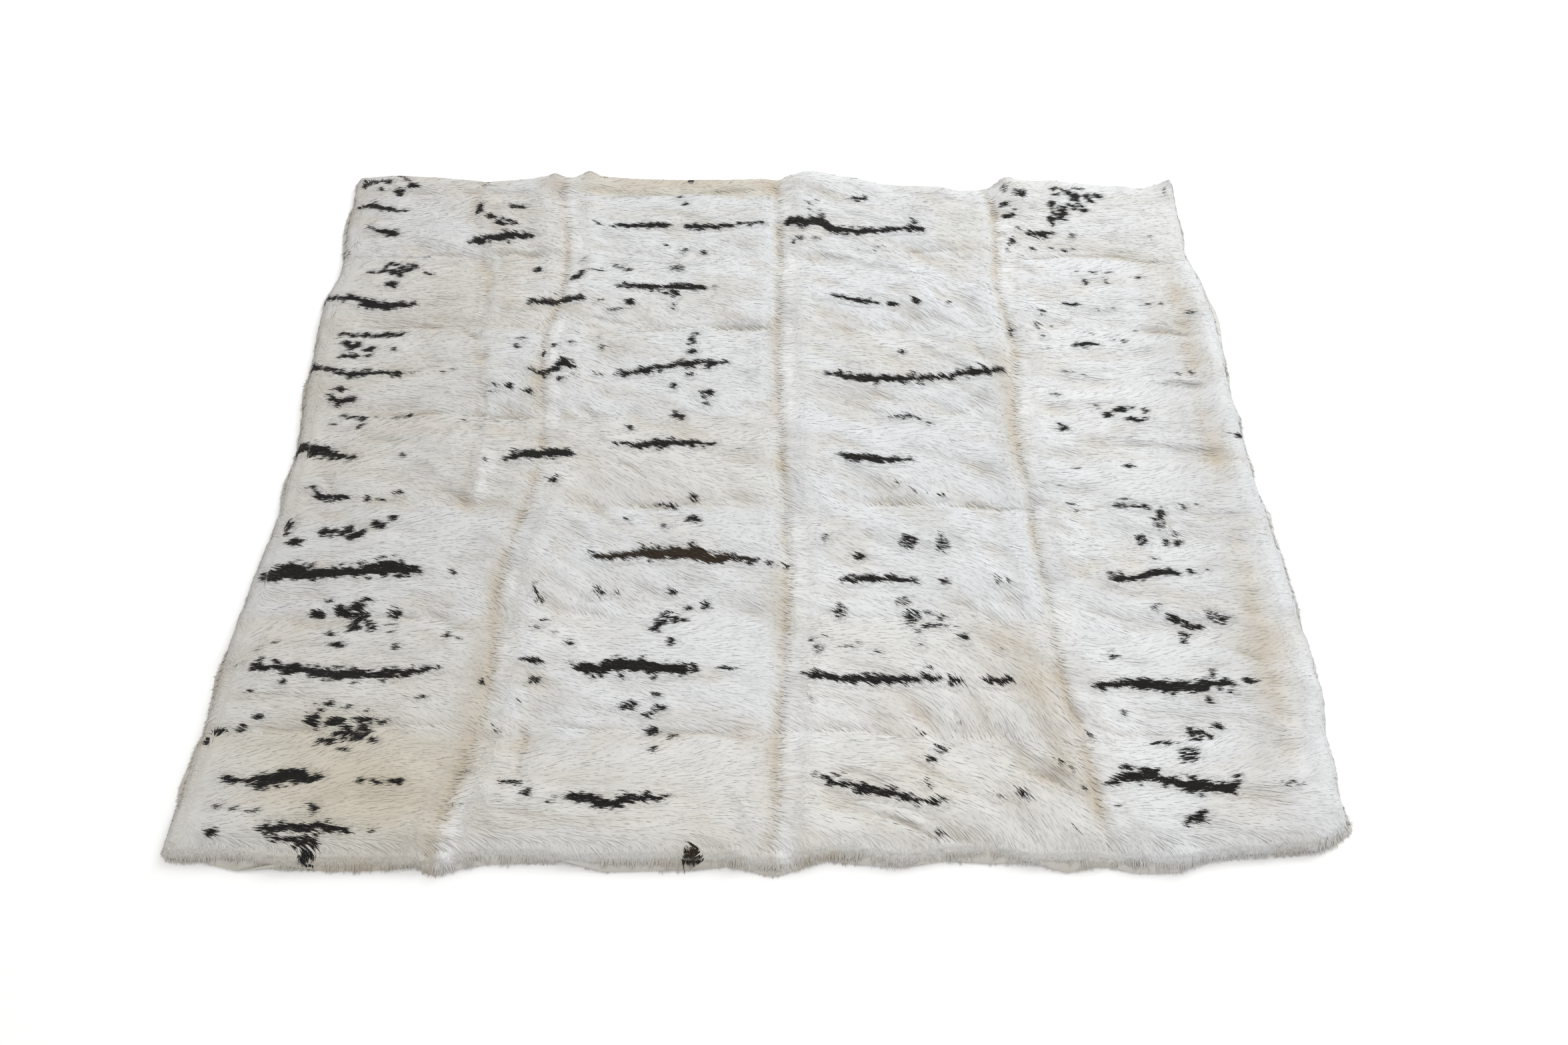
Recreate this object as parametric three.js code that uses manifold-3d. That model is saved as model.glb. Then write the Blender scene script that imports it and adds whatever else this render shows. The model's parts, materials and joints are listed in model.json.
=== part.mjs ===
// Rabbit fur blanket, lying fur side up: pelts trimmed to oblongs and sewn edge to edge in four columns.
// Millimetres, +Z up, +X towards the blanket's right side, +Y towards its far side.
// Each pelt is one closed slab, with its flat leather side at z = 0 and a lumpy top where its pile ends.
// The tables below are measured in the floor's plane; the finished group is centred on its own outline.

import * as THREE from "three";
import { mergeVertices } from "three/addons/utils/BufferGeometryUtils.js";
import Module from "manifold-3d";

const wasm = await Module();
wasm.setup();

// Pile and seams
const PILE_HEIGHT = 17;
const PELT_CROWN = 3.5;
const PELT_GAP = 0.3;
const SEAM_DEPTH = 9;
const SEAM_SPREAD = 11;
const RIDGE_OFFSET = 24;
const RIDGE_SPREAD = 15;
const LEAST_HEIGHT = 6;
const BROAD_LUMPS = 2.2;
const SMALL_LUMPS = 1.3;

// Rim: the dense pile ends inside the outline and rounds down over the rim's width, and locks reach past it
const RIM_INSET = 7;
const RIM_WIDTH = 26;
const RIM_HEIGHT = 7;

// Rim locks: each is a three-sided spike that lies on the floor, with its root buried in the pile
const LOCK_PITCH = 19;
const LOCK_END_MARGIN = 10;
const LOCK_ROOT_DEPTH = 4;
const LOCK_ROOT_WIDTH = 16;
const LOCK_ROOT_HEIGHT = 5;
const LOCK_REACH = 12;
const LOCK_REACH_SPREAD = 3;
const LOCK_LEAN = 3.5;

// Outline of the fur as it lies, one table for each side
const LEFT_RIM = [
  { y: -540, x: -599 },
  { y: -484, x: -595 },
  { y: -400, x: -591 },
  { y: -297, x: -591 },
  { y: -207, x: -585 },
  { y: -100, x: -575 },
  { y: -43, x: -578 },
  { y: -15, x: -573 },
  { y: 71, x: -584 },
  { y: 153, x: -588 },
  { y: 217, x: -594 },
  { y: 274, x: -594 },
  { y: 303, x: -585 },
  { y: 353, x: -586 },
  { y: 400, x: -593 },
  { y: 494, x: -596 },
  { y: 525, x: -600 },
];
const RIGHT_RIM = [
  { y: -505, x: 607 },
  { y: -464, x: 604 },
  { y: -442, x: 610 },
  { y: -389, x: 607 },
  { y: -362, x: 620 },
  { y: -342, x: 614 },
  { y: -285, x: 617 },
  { y: -254, x: 612 },
  { y: -225, x: 615 },
  { y: -80, x: 607 },
  { y: 16, x: 603 },
  { y: 51, x: 608 },
  { y: 75, x: 603 },
  { y: 125, x: 607 },
  { y: 225, x: 609 },
  { y: 276, x: 606 },
  { y: 320, x: 601 },
  { y: 343, x: 593 },
  { y: 383, x: 596 },
  { y: 495, x: 598 },
];
const NEAR_RIM = [
  { x: -599, y: -539 },
  { x: -575, y: -546 },
  { x: -532, y: -540 },
  { x: -500, y: -549 },
  { x: -460, y: -553 },
  { x: -337, y: -550 },
  { x: -318, y: -558 },
  { x: -306, y: -551 },
  { x: -268, y: -542 },
  { x: -139, y: -549 },
  { x: -26, y: -547 },
  { x: 19, y: -554 },
  { x: 51, y: -547 },
  { x: 86, y: -538 },
  { x: 160, y: -550 },
  { x: 189, y: -541 },
  { x: 248, y: -538 },
  { x: 275, y: -547 },
  { x: 369, y: -548 },
  { x: 429, y: -553 },
  { x: 457, y: -542 },
  { x: 522, y: -538 },
  { x: 565, y: -534 },
  { x: 587, y: -523 },
  { x: 607, y: -507 },
];
const FAR_RIM = [
  { x: -600, y: 519 },
  { x: -529, y: 526 },
  { x: -473, y: 519 },
  { x: -381, y: 513 },
  { x: -300, y: 524 },
  { x: -255, y: 524 },
  { x: -146, y: 517 },
  { x: -37, y: 515 },
  { x: 42, y: 521 },
  { x: 75, y: 529 },
  { x: 129, y: 520 },
  { x: 165, y: 505 },
  { x: 251, y: 503 },
  { x: 276, y: 493 },
  { x: 313, y: 493 },
  { x: 355, y: 513 },
  { x: 427, y: 513 },
  { x: 517, y: 499 },
  { x: 551, y: 496 },
  { x: 580, y: 508 },
  { x: 598, y: 500 },
];

// Seams between the columns, with the rise of the fur on each side of them
const SPLIT_SEAM = [
  { y: -100, x: -345, left: 1, right: 1 },
  { y: 45, x: -349, left: 1, right: 2 },
  { y: 110, x: -352, left: 1, right: 3 },
  { y: 170, x: -368, left: 1, right: 3 },
  { y: 230, x: -363, left: 2, right: 2 },
  { y: 300, x: -368, left: 2, right: 3 },
  { y: 380, x: -392, left: 1, right: 2 },
  { y: 440, x: -408, left: 1, right: 2 },
  { y: 520, x: -403, left: 1, right: 2 },
];
const SEAM_A_B = [
  { y: -558, x: -322, left: 4, right: 6 },
  { y: -510, x: -313, left: 2, right: 6 },
  { y: -440, x: -298, left: 1, right: 9 },
  { y: -380, x: -286, left: 1, right: 8 },
  { y: -300, x: -284, left: 2, right: 6 },
  { y: -230, x: -292, left: 2, right: 9 },
  { y: -160, x: -286, left: 3, right: 9 },
  { y: -100, x: -272, left: 3, right: 7 },
  { y: -20, x: -263, left: 2, right: 3 },
  { y: 50, x: -268, left: 2, right: 6 },
  { y: 130, x: -279, left: 2, right: 9 },
  { y: 190, x: -280, left: 3, right: 8 },
  { y: 260, x: -266, left: 4, right: 5 },
  { y: 330, x: -262, left: 4, right: 7 },
  { y: 400, x: -272, left: 4, right: 9 },
  { y: 470, x: -286, left: 6, right: 8 },
  { y: 525, x: -280, left: 9, right: 9 },
];
const SEAM_B_C = [
  { y: -555, x: 20, left: 1, right: 6 },
  { y: -480, x: 27, left: 2, right: 7 },
  { y: -400, x: 30, left: 2, right: 7 },
  { y: -300, x: 36, left: 2, right: 6 },
  { y: -200, x: 41, left: 2, right: 6 },
  { y: -100, x: 35, left: 2, right: 7 },
  { y: 0, x: 32, left: 2, right: 7 },
  { y: 120, x: 27, left: 2, right: 8 },
  { y: 220, x: 27, left: 2, right: 7 },
  { y: 330, x: 30, left: 2, right: 6 },
  { y: 420, x: 26, left: 3, right: 9 },
  { y: 530, x: 20, left: 4, right: 9 },
];
const SEAM_C_D = [
  { y: -555, x: 365, left: 3, right: 5 },
  { y: -490, x: 356, left: 3, right: 6 },
  { y: -420, x: 349, left: 3, right: 6 },
  { y: -350, x: 337, left: 3, right: 5 },
  { y: -280, x: 334, left: 4, right: 6 },
  { y: -200, x: 331, left: 5, right: 7 },
  { y: -140, x: 327, left: 5, right: 7 },
  { y: -80, x: 330, left: 5, right: 5 },
  { y: -20, x: 321, left: 5, right: 5 },
  { y: 70, x: 324, left: 5, right: 5 },
  { y: 150, x: 334, left: 6, right: 6 },
  { y: 210, x: 329, left: 6, right: 6 },
  { y: 280, x: 321, left: 5, right: 7 },
  { y: 330, x: 328, left: 3, right: 5 },
  { y: 440, x: 335, left: 2, right: 5 },
  { y: 530, x: 318, left: 1, right: 7 },
];

// Folds that the fur lies in: each is a ridge, or a trough where it sinks, along a straight line
const FOLDS = [
  { x1: -330, y1: 445, x2: -285, y2: 430, rise: 3, spread: 14 },
  { x1: -285, y1: 430, x2: -262, y2: 360, rise: 3, spread: 14 },
  { x1: -345, y1: 356, x2: -275, y2: 342, rise: -3, spread: 10 },
  { x1: -245, y1: 100, x2: -190, y2: 30, rise: 6, spread: 15 },
  { x1: -175, y1: 215, x2: -125, y2: 190, rise: -4, spread: 12 },
  { x1: -50, y1: 206, x2: 5, y2: 197, rise: -4, spread: 9 },
  { x1: -205, y1: -30, x2: -130, y2: -95, rise: 5, spread: 15 },
  { x1: -150, y1: -10, x2: -95, y2: -60, rise: 3, spread: 13 },
  { x1: -185, y1: -115, x2: -80, y2: -170, rise: 4, spread: 15 },
  { x1: -225, y1: -275, x2: -185, y2: -345, rise: 4, spread: 14 },
  { x1: -240, y1: -330, x2: -242, y2: -460, rise: -6, spread: 10 },
  { x1: -350, y1: -265, x2: -305, y2: -325, rise: -3, spread: 12 },
  { x1: -515, y1: -20, x2: -495, y2: -85, rise: 4, spread: 14 },
  { x1: -540, y1: -25, x2: -525, y2: -75, rise: -4, spread: 11 },
  { x1: 75, y1: 515, x2: 85, y2: 470, rise: 7, spread: 34 },
  { x1: 225, y1: 480, x2: 262, y2: 405, rise: -5, spread: 18 },
  { x1: 283, y1: 490, x2: 285, y2: 445, rise: -5, spread: 16 },
  { x1: 198, y1: 295, x2: 238, y2: 215, rise: 6, spread: 15 },
  { x1: 245, y1: 205, x2: 285, y2: 105, rise: 6, spread: 15 },
  { x1: 296, y1: 280, x2: 306, y2: 130, rise: 4, spread: 13 },
  { x1: 358, y1: 500, x2: 366, y2: 455, rise: 7, spread: 20 },
  { x1: 560, y1: 300, x2: 558, y2: -40, rise: -6, spread: 13 },
  { x1: 556, y1: -150, x2: 560, y2: -430, rise: -5, spread: 14 },
  { x1: 586, y1: 480, x2: 588, y2: -490, rise: 3, spread: 11 },
  { x1: 586, y1: 505, x2: 588, y2: 480, rise: 8, spread: 12 },
  { x1: 70, y1: -60, x2: 112, y2: -125, rise: 5, spread: 14 },
  { x1: 150, y1: -40, x2: 220, y2: -112, rise: 3, spread: 13 },
  { x1: 272, y1: -115, x2: 282, y2: -235, rise: -4, spread: 13 },
  { x1: 350, y1: -125, x2: 405, y2: -215, rise: 5, spread: 14 },
  { x1: 372, y1: -135, x2: 378, y2: -195, rise: -4, spread: 12 },
  { x1: 170, y1: -360, x2: 235, y2: -420, rise: -3, spread: 14 },
  { x1: 105, y1: -488, x2: 200, y2: -525, rise: -5, spread: 10 },
  { x1: 262, y1: -430, x2: 345, y2: -487, rise: -4, spread: 10 },
  { x1: 300, y1: -345, x2: 340, y2: -440, rise: 4, spread: 13 },
];

// One grid covers the blanket, and each pelt is an oblong patch of it, so neighbours share their edge points.
// Column lines run from the left rim to the right one, row lines from the near rim to the far one.
const COLUMN_LINES = [LEFT_RIM, SPLIT_SEAM, SEAM_A_B, SEAM_B_C, SEAM_C_D, RIGHT_RIM];
const CELLS_ACROSS = [8, 6, 12, 12, 12];
const ROW_SEAMS = [-405, -280, -255, -152, -100, -26, 48, 98, 198, 335, 470];
const CELLS_ALONG = [7, 5, 1, 4, 2, 3, 3, 2, 4, 6, 6, 3];
const ROW_WANDER = 3;
const ROW_WANDER_LENGTH = 95;

// Columns of pelts: the column lines that bound them, and the row lines on which their pelts end
const COLUMNS = [
  { name: "a", left: 0, right: 2, ends: [0, 1, 3, 5] },
  { name: "a_outer", left: 0, right: 1, ends: [5, 7, 9, 10, 11, 12] },
  { name: "a_inner", left: 1, right: 2, ends: [5, 7, 9, 10, 11, 12] },
  { name: "b", left: 2, right: 3, ends: [0, 1, 3, 5, 7, 9, 10, 11, 12] },
  { name: "c", left: 3, right: 4, ends: [0, 1, 3, 5, 7, 9, 10, 11, 12] },
  { name: "d", left: 4, right: 5, ends: [0, 1, 2, 4, 6, 8, 9, 10, 12] },
];

// Fur colours of the columns' pelts, from the near rim to the far one
const WHITE = 0xe9e7e3;
const IVORY = 0xe3ddcf;
const CREAM = 0xd9cdb0;
const BEIGE = 0xcfc4b2;
const PELT_COLOURS = {
  a: [CREAM, IVORY, WHITE],
  a_outer: [IVORY, IVORY, IVORY, WHITE, IVORY],
  a_inner: [IVORY, WHITE, IVORY, IVORY, WHITE],
  b: [IVORY, WHITE, WHITE, IVORY, WHITE, WHITE, WHITE, BEIGE],
  c: [IVORY, IVORY, WHITE, WHITE, WHITE, WHITE, WHITE, WHITE],
  d: [WHITE, WHITE, WHITE, WHITE, WHITE, WHITE, WHITE, IVORY],
};

// A table's value at a place between two of its rows, which are in rising order of the key
function readTable(rows, key, at, wanted) {
  const found = rows.findIndex((row) => row[key] >= at);
  const next = found === -1 ? rows.length - 1 : Math.max(found, 1);
  const before = rows[next - 1];
  const after = rows[next];
  const share = THREE.MathUtils.clamp((at - before[key]) / (after[key] - before[key]), 0, 1);
  return THREE.MathUtils.lerp(before[wanted], after[wanted], share);
}

// A smooth hump, 1 at its middle and fading with distance
function hump(distance, spread) {
  return Math.exp(-((distance / spread) ** 2));
}

function columnX(line, y) {
  const table = COLUMN_LINES[line];
  const inset = table === LEFT_RIM ? RIM_INSET : table === RIGHT_RIM ? -RIM_INSET : 0;
  return readTable(table, "y", y, "x") + inset;
}

function rowY(line, x) {
  if (line === 0) return readTable(NEAR_RIM, "x", x, "y") + RIM_INSET;
  if (line > ROW_SEAMS.length) return readTable(FAR_RIM, "x", x, "y") - RIM_INSET;
  return ROW_SEAMS[line - 1] + ROW_WANDER * Math.sin(x / ROW_WANDER_LENGTH + line);
}

// Shares of a band's width at which its grid lines lie: closer together near seams, or near the rim alone
function columnShares(cells) {
  return Array.from({ length: cells + 1 }, (_, i) => (1 - Math.cos((Math.PI * i) / cells)) / 2);
}

function rowShares(band) {
  const cells = CELLS_ALONG[band];
  const even = Array.from({ length: cells + 1 }, (_, i) => i / cells);
  if (band === 0) return even.map((share) => 1 - Math.cos((Math.PI * share) / 2));
  if (band === CELLS_ALONG.length - 1) return even.map((share) => Math.sin((Math.PI * share) / 2));
  return even;
}

// Every grid line as a pair of its band and its share of that band, and the number of each band's first line
function gridLines(cellCounts, sharesOf) {
  const lines = [];
  const starts = [0];
  cellCounts.forEach((cells, band) => {
    const shares = sharesOf(band);
    shares.slice(band === 0 ? 0 : 1).forEach((share) => lines.push({ band, share }));
    starts.push(lines.length - 1);
  });
  return { lines, starts };
}

const across = gridLines(CELLS_ACROSS, (band) => columnShares(CELLS_ACROSS[band]));
const along = gridLines(CELLS_ALONG, rowShares);

// Where a column line crosses a row line, found by going from one to the other a few times
function gridPoint(i, j) {
  const column = across.lines[i];
  const row = along.lines[j];
  let x = 0;
  let y = 0;
  for (let turn = 0; turn < 12; turn += 1) {
    x = THREE.MathUtils.lerp(columnX(column.band, y), columnX(column.band + 1, y), column.share);
    y = THREE.MathUtils.lerp(rowY(row.band, x), rowY(row.band + 1, x), row.share);
  }
  return { x, y };
}

function lumps(x, y) {
  const broad = Math.sin(x / 37 + 1.4 * Math.sin(y / 53)) * Math.cos(y / 33 - 0.9 * Math.sin(x / 61));
  const small = Math.sin(x / 17 - y / 23) * Math.sin(y / 15 + x / 41);
  return BROAD_LUMPS * broad + SMALL_LUMPS * small;
}

function seamRelief(table, x, y) {
  if (y < table[0].y) return 0;
  const distance = x - readTable(table, "y", y, "x");
  const side = distance < 0 ? "left" : "right";
  const ridge = readTable(table, "y", y, side);
  const depth = table === SPLIT_SEAM ? SEAM_DEPTH / 3 : SEAM_DEPTH;
  return ridge * hump(Math.abs(distance) - RIDGE_OFFSET, RIDGE_SPREAD) - depth * hump(distance, SEAM_SPREAD);
}

function foldRelief(fold, x, y) {
  const run = new THREE.Vector2(fold.x2 - fold.x1, fold.y2 - fold.y1);
  const offset = new THREE.Vector2(x - fold.x1, y - fold.y1);
  const share = THREE.MathUtils.clamp(offset.dot(run) / run.lengthSq(), 0, 1);
  const distance = offset.distanceTo(run.multiplyScalar(share));
  return fold.rise * hump(distance, fold.spread);
}

// Distance in from the end of the dense pile
function rimDistance(x, y) {
  return Math.min(
    x - columnX(0, y),
    columnX(COLUMN_LINES.length - 1, y) - x,
    y - rowY(0, x),
    rowY(ROW_SEAMS.length + 1, x) - y,
  );
}

// Height of the pile, before the crown of its pelt is added
function pileHeight(x, y) {
  const seams = [SPLIT_SEAM, SEAM_A_B, SEAM_B_C, SEAM_C_D];
  const relief = seams.reduce((sum, table) => sum + seamRelief(table, x, y), 0);
  const folds = FOLDS.reduce((sum, fold) => sum + foldRelief(fold, x, y), 0);
  return PILE_HEIGHT + lumps(x, y) + relief + folds;
}

function roundedAtRim(height, x, y) {
  const inside = THREE.MathUtils.clamp(rimDistance(x, y) / RIM_WIDTH, 0, 1);
  const round = Math.sqrt(1 - (1 - inside) ** 2);
  return Math.max(LEAST_HEIGHT, THREE.MathUtils.lerp(RIM_HEIGHT, height, round));
}

// One pelt's top as rows of points. Its own edges are drawn in by half the gap between pelts.
function peltTop(patch) {
  const rows = [];
  for (let j = patch.near; j <= patch.far; j += 1) {
    const row = [];
    for (let i = patch.left; i <= patch.right; i += 1) {
      const { x, y } = gridPoint(i, j);
      const u = (2 * (i - patch.left)) / (patch.right - patch.left) - 1;
      const v = (2 * (j - patch.near)) / (patch.far - patch.near) - 1;
      const crown = PELT_CROWN * (1 - u ** 6) * (1 - v ** 4);
      const z = roundedAtRim(pileHeight(x, y) + crown - PELT_CROWN / 2, x, y);
      const drawX = i === patch.left ? 1 : i === patch.right ? -1 : 0;
      const drawY = j === patch.near ? 1 : j === patch.far ? -1 : 0;
      row.push(new THREE.Vector3(x + (drawX * PELT_GAP) / 2, y + (drawY * PELT_GAP) / 2, z));
    }
    rows.push(row);
  }
  return rows;
}

// A closed slab under a top given as rows of points: the top, walls all round, and a flat underside at z = 0
function slabGeometry(rows) {
  const width = rows[0].length;
  const depth = rows.length;
  const points = rows.flat();
  const faces = [];
  for (let j = 0; j < depth - 1; j += 1) {
    for (let i = 0; i < width - 1; i += 1) {
      const corner = j * width + i;
      faces.push([corner, corner + 1, corner + width + 1], [corner, corner + width + 1, corner + width]);
    }
  }
  const loop = [];
  for (let i = 0; i < width - 1; i += 1) loop.push(i);
  for (let j = 0; j < depth - 1; j += 1) loop.push(j * width + width - 1);
  for (let i = width - 1; i > 0; i -= 1) loop.push((depth - 1) * width + i);
  for (let j = depth - 1; j > 0; j -= 1) loop.push(j * width);
  const base = points.length;
  const floor = loop.map((index) => new THREE.Vector3(points[index].x, points[index].y, 0));
  loop.forEach((index, place) => {
    const nextPlace = (place + 1) % loop.length;
    const nextIndex = loop[nextPlace];
    faces.push([index, base + place, base + nextPlace], [index, base + nextPlace, nextIndex]);
  });
  const flat = floor.map((point) => new THREE.Vector2(point.x, point.y));
  THREE.ShapeUtils.triangulateShape(flat, []).forEach(([a, b, c]) => {
    faces.push([base + a, base + c, base + b]);
  });
  return geometryOf([...points, ...floor], faces);
}

function geometryOf(points, faces) {
  const geometry = new THREE.BufferGeometry().setFromPoints(points);
  geometry.setIndex(faces.flat());
  return geometry;
}

function solidOf(geometry) {
  const merged = mergeVertices(geometry, 1e-4);
  return new wasm.Manifold(
    new wasm.Mesh({
      numProp: 3,
      vertProperties: merged.attributes.position.array,
      triVerts: new Uint32Array(merged.index.array),
    }),
  );
}

function geometryOfSolid(solid) {
  const mesh = solid.getMesh();
  const geometry = new THREE.BufferGeometry();
  geometry.setAttribute("position", new THREE.BufferAttribute(new Float32Array(mesh.vertProperties), 3));
  geometry.setIndex(new THREE.BufferAttribute(new Uint32Array(mesh.triVerts), 1));
  return geometry;
}

// A repeatable number from 0 to 1 for the n-th lock of a side
function uneven(n, side) {
  const value = Math.sin(n * 12.9898 + side * 78.233) * 43758.5453;
  return value - Math.floor(value);
}

// One lock: its root is a triangle inside the pile's end, and its tip lies on the floor outside
function lockGeometry(foot, outward, reach, lean) {
  const sideways = new THREE.Vector3(-outward.y, outward.x, 0);
  const root = foot.clone().addScaledVector(outward, -LOCK_ROOT_DEPTH);
  const points = [
    root.clone().addScaledVector(sideways, -LOCK_ROOT_WIDTH / 2),
    root.clone().addScaledVector(sideways, LOCK_ROOT_WIDTH / 2),
    root.clone().setZ(LOCK_ROOT_HEIGHT),
    foot.clone().addScaledVector(outward, reach).addScaledVector(sideways, lean),
  ];
  return geometryOf(points, [[0, 2, 1], [0, 1, 3], [0, 3, 2], [1, 2, 3]]);
}

// Locks along one side of a pelt, given that side's floor points in order, with the outside to their right
function locksAlong(side, sideNumber) {
  const path = new THREE.CurvePath();
  for (let n = 0; n < side.length - 1; n += 1) path.add(new THREE.LineCurve3(side[n], side[n + 1]));
  const length = path.getLength() - 2 * LOCK_END_MARGIN;
  const count = Math.max(1, Math.round(length / LOCK_PITCH));
  return Array.from({ length: count }, (_, n) => {
    const place = LOCK_END_MARGIN + (length * (n + 0.5)) / count;
    const share = place / path.getLength();
    const ahead = path.getTangentAt(share);
    const outward = new THREE.Vector3(ahead.y, -ahead.x, 0).normalize();
    const reach = LOCK_REACH + LOCK_REACH_SPREAD * (2 * uneven(n, sideNumber) - 1);
    const lean = LOCK_LEAN * (2 * uneven(n + 0.5, sideNumber) - 1);
    return lockGeometry(path.getPointAt(share), outward, reach, lean);
  });
}

// The sides of a pelt that lie on the blanket's rim, each as floor points with the outside to their right
function rimSides(patch, rows) {
  const grounded = (points) => points.map((point) => new THREE.Vector3(point.x, point.y, 0));
  const sides = [];
  if (patch.near === 0) sides.push(grounded(rows[0]));
  if (patch.right === across.lines.length - 1) sides.push(grounded(rows.map((row) => row.at(-1))));
  if (patch.far === along.lines.length - 1) sides.push(grounded(rows.at(-1)).reverse());
  if (patch.left === 0) sides.push(grounded(rows.map((row) => row[0])).reverse());
  return sides;
}

function peltMesh(column, number, patch) {
  const rows = peltTop(patch);
  let solid = solidOf(slabGeometry(rows));
  rimSides(patch, rows).forEach((side, place) => {
    locksAlong(side, patch.near + 7 * patch.left + place).forEach((lock) => {
      solid = solid.add(solidOf(lock));
    });
  });
  const color = PELT_COLOURS[column.name][number];
  const material = new THREE.MeshStandardMaterial({ color, roughness: 0.95, metalness: 0 });
  const mesh = new THREE.Mesh(geometryOfSolid(solid), material);
  mesh.name = `pelt_${column.name}_${number + 1}`;
  return mesh;
}

function buildBlanket() {
  const group = new THREE.Group();
  COLUMNS.forEach((column) => {
    for (let n = 0; n < column.ends.length - 1; n += 1) {
      const patch = {
        left: across.starts[column.left],
        right: across.starts[column.right],
        near: along.starts[column.ends[n]],
        far: along.starts[column.ends[n + 1]],
      };
      group.add(peltMesh(column, n, patch));
    }
  });
  const middle = new THREE.Box3().setFromObject(group).getCenter(new THREE.Vector3());
  group.position.set(-middle.x, -middle.y, 0);
  return group;
}

export default buildBlanket();
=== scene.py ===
"""Rabbit fur blanket lying fur side up on a pale floor: pelts of white fur with dark natural markings.

Tables are in millimetres in the plan, with x to the blanket's right and y away from the camera. Everything
that is made from them is in metres.
"""

import json
import math

import bmesh
import bpy
import numpy as np
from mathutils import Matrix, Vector
from mathutils.bvhtree import BVHTree
from mathutils.kdtree import KDTree


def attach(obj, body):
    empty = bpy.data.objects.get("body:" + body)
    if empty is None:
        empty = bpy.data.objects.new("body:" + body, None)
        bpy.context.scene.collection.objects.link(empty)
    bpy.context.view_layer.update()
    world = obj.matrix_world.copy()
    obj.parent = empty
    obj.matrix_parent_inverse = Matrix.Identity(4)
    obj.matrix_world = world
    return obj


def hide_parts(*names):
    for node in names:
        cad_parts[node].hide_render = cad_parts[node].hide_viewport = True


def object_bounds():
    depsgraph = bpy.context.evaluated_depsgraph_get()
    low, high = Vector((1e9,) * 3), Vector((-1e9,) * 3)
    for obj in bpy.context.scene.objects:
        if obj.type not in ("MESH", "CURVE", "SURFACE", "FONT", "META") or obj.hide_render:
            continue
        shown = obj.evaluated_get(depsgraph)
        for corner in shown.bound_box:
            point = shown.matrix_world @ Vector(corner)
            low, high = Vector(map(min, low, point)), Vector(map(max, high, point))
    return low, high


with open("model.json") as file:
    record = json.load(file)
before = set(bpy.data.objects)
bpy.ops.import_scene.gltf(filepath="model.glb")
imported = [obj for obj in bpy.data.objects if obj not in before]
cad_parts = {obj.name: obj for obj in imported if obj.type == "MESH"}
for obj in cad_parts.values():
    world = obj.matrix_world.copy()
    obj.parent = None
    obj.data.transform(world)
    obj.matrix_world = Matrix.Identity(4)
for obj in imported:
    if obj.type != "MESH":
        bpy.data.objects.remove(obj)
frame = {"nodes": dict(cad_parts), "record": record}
cad_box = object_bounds()

MM = 0.001
RANDOM = np.random.default_rng(20)

# Smooth noise is read from a lattice of random values: its size, and a shift that keeps its places positive
NOISE_CELLS = 256
NOISE_SHIFT = 1000.5

# Values that keep a division or a reading of a grid safe, and don't show
TINY = 1e-9
LEAST_LENGTH = 1e-6
LEAST_COVER = 1e-3
LAST_CELL = 1.001

# The tables were measured about a point beside the middle of the outline, so they move by this much
PLAN_SHIFT = (-9.6, 12.8)

# Camera, looking down at the blanket from in front of its near rim
CAMERA_PLACE = (0.0204, -1.0892, 1.297)
CAMERA_PITCH = 52.65
CAMERA_LENS = 31.38
CAMERA_SENSOR = 36

# Light: a pale, slightly warm room and one wide soft lamp like daylight beyond the far right corner
ROOM_COLOUR = (1.0, 0.986, 0.958)
ROOM_STRENGTH = 0.74
LAMP_PLACE = (1.8, 2.1, 2.4)
LAMP_COLOUR = (0.93, 0.97, 1.0)
LAMP_POWER = 69
LAMP_SIZE = 1.8
FLOOR_SIZE = 14
FLOOR_TONES = ((0.94, 0.94, 0.94), (0.95, 0.95, 0.95))
FLOOR_GLOW = 0.16

# Pile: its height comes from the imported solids, read from above on an even grid and smoothed by a bell curve.
# Smoothings and spreads are in steps of their grid, here and below, and the curve ends at so many spreads
GRID_STEP = 4 * MM
GRID_MARGIN = 60 * MM
READ_FROM = 1.0
LOCK_LEVEL = 5.5 * MM
PILE_SMOOTHING = 1.9
EDGE_SMOOTHING = 1.0
EDGE_FADE = (0.0, 0.4)
RIM_SMOOTHING = 4.5
BELL_REACH = 3

# A pelt's top, taken from its solid: how near two points are one, and the angles within which two triangles
# become one oblong. Edges of two pelts nearer than the last value are sewn together
SAME_POINT = 0.01 * MM
PAIR_FACE_ANGLE = 1.2
PAIR_SHAPE_ANGLE = 3.1
SEWN_WITHIN = 1.5 * MM

# Finer relief on the pile, on a finer grid: streaks and tufts along the lie of the hair, and creases, which
# wander a little and fade towards their ends
RELIEF_STEP = 2 * MM
RELIEF_FADE = (0.5, 0.95)
COMB_STEPS = 9
STREAKS = {"size": 8 * MM, "length": 34 * MM, "rise": 0.2 * MM, "seed": 31}
TUFTS = {"size": 19 * MM, "length": 50 * MM, "rise": 0.7 * MM, "seed": 32}
CREASE_GAIN = 1.5
CREASE_FULL = 0.65
CREASE_FADE = 0.5
CREASE_WANDER = {"size": 26 * MM, "swing": 3 * MM, "seed": 41}

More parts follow.
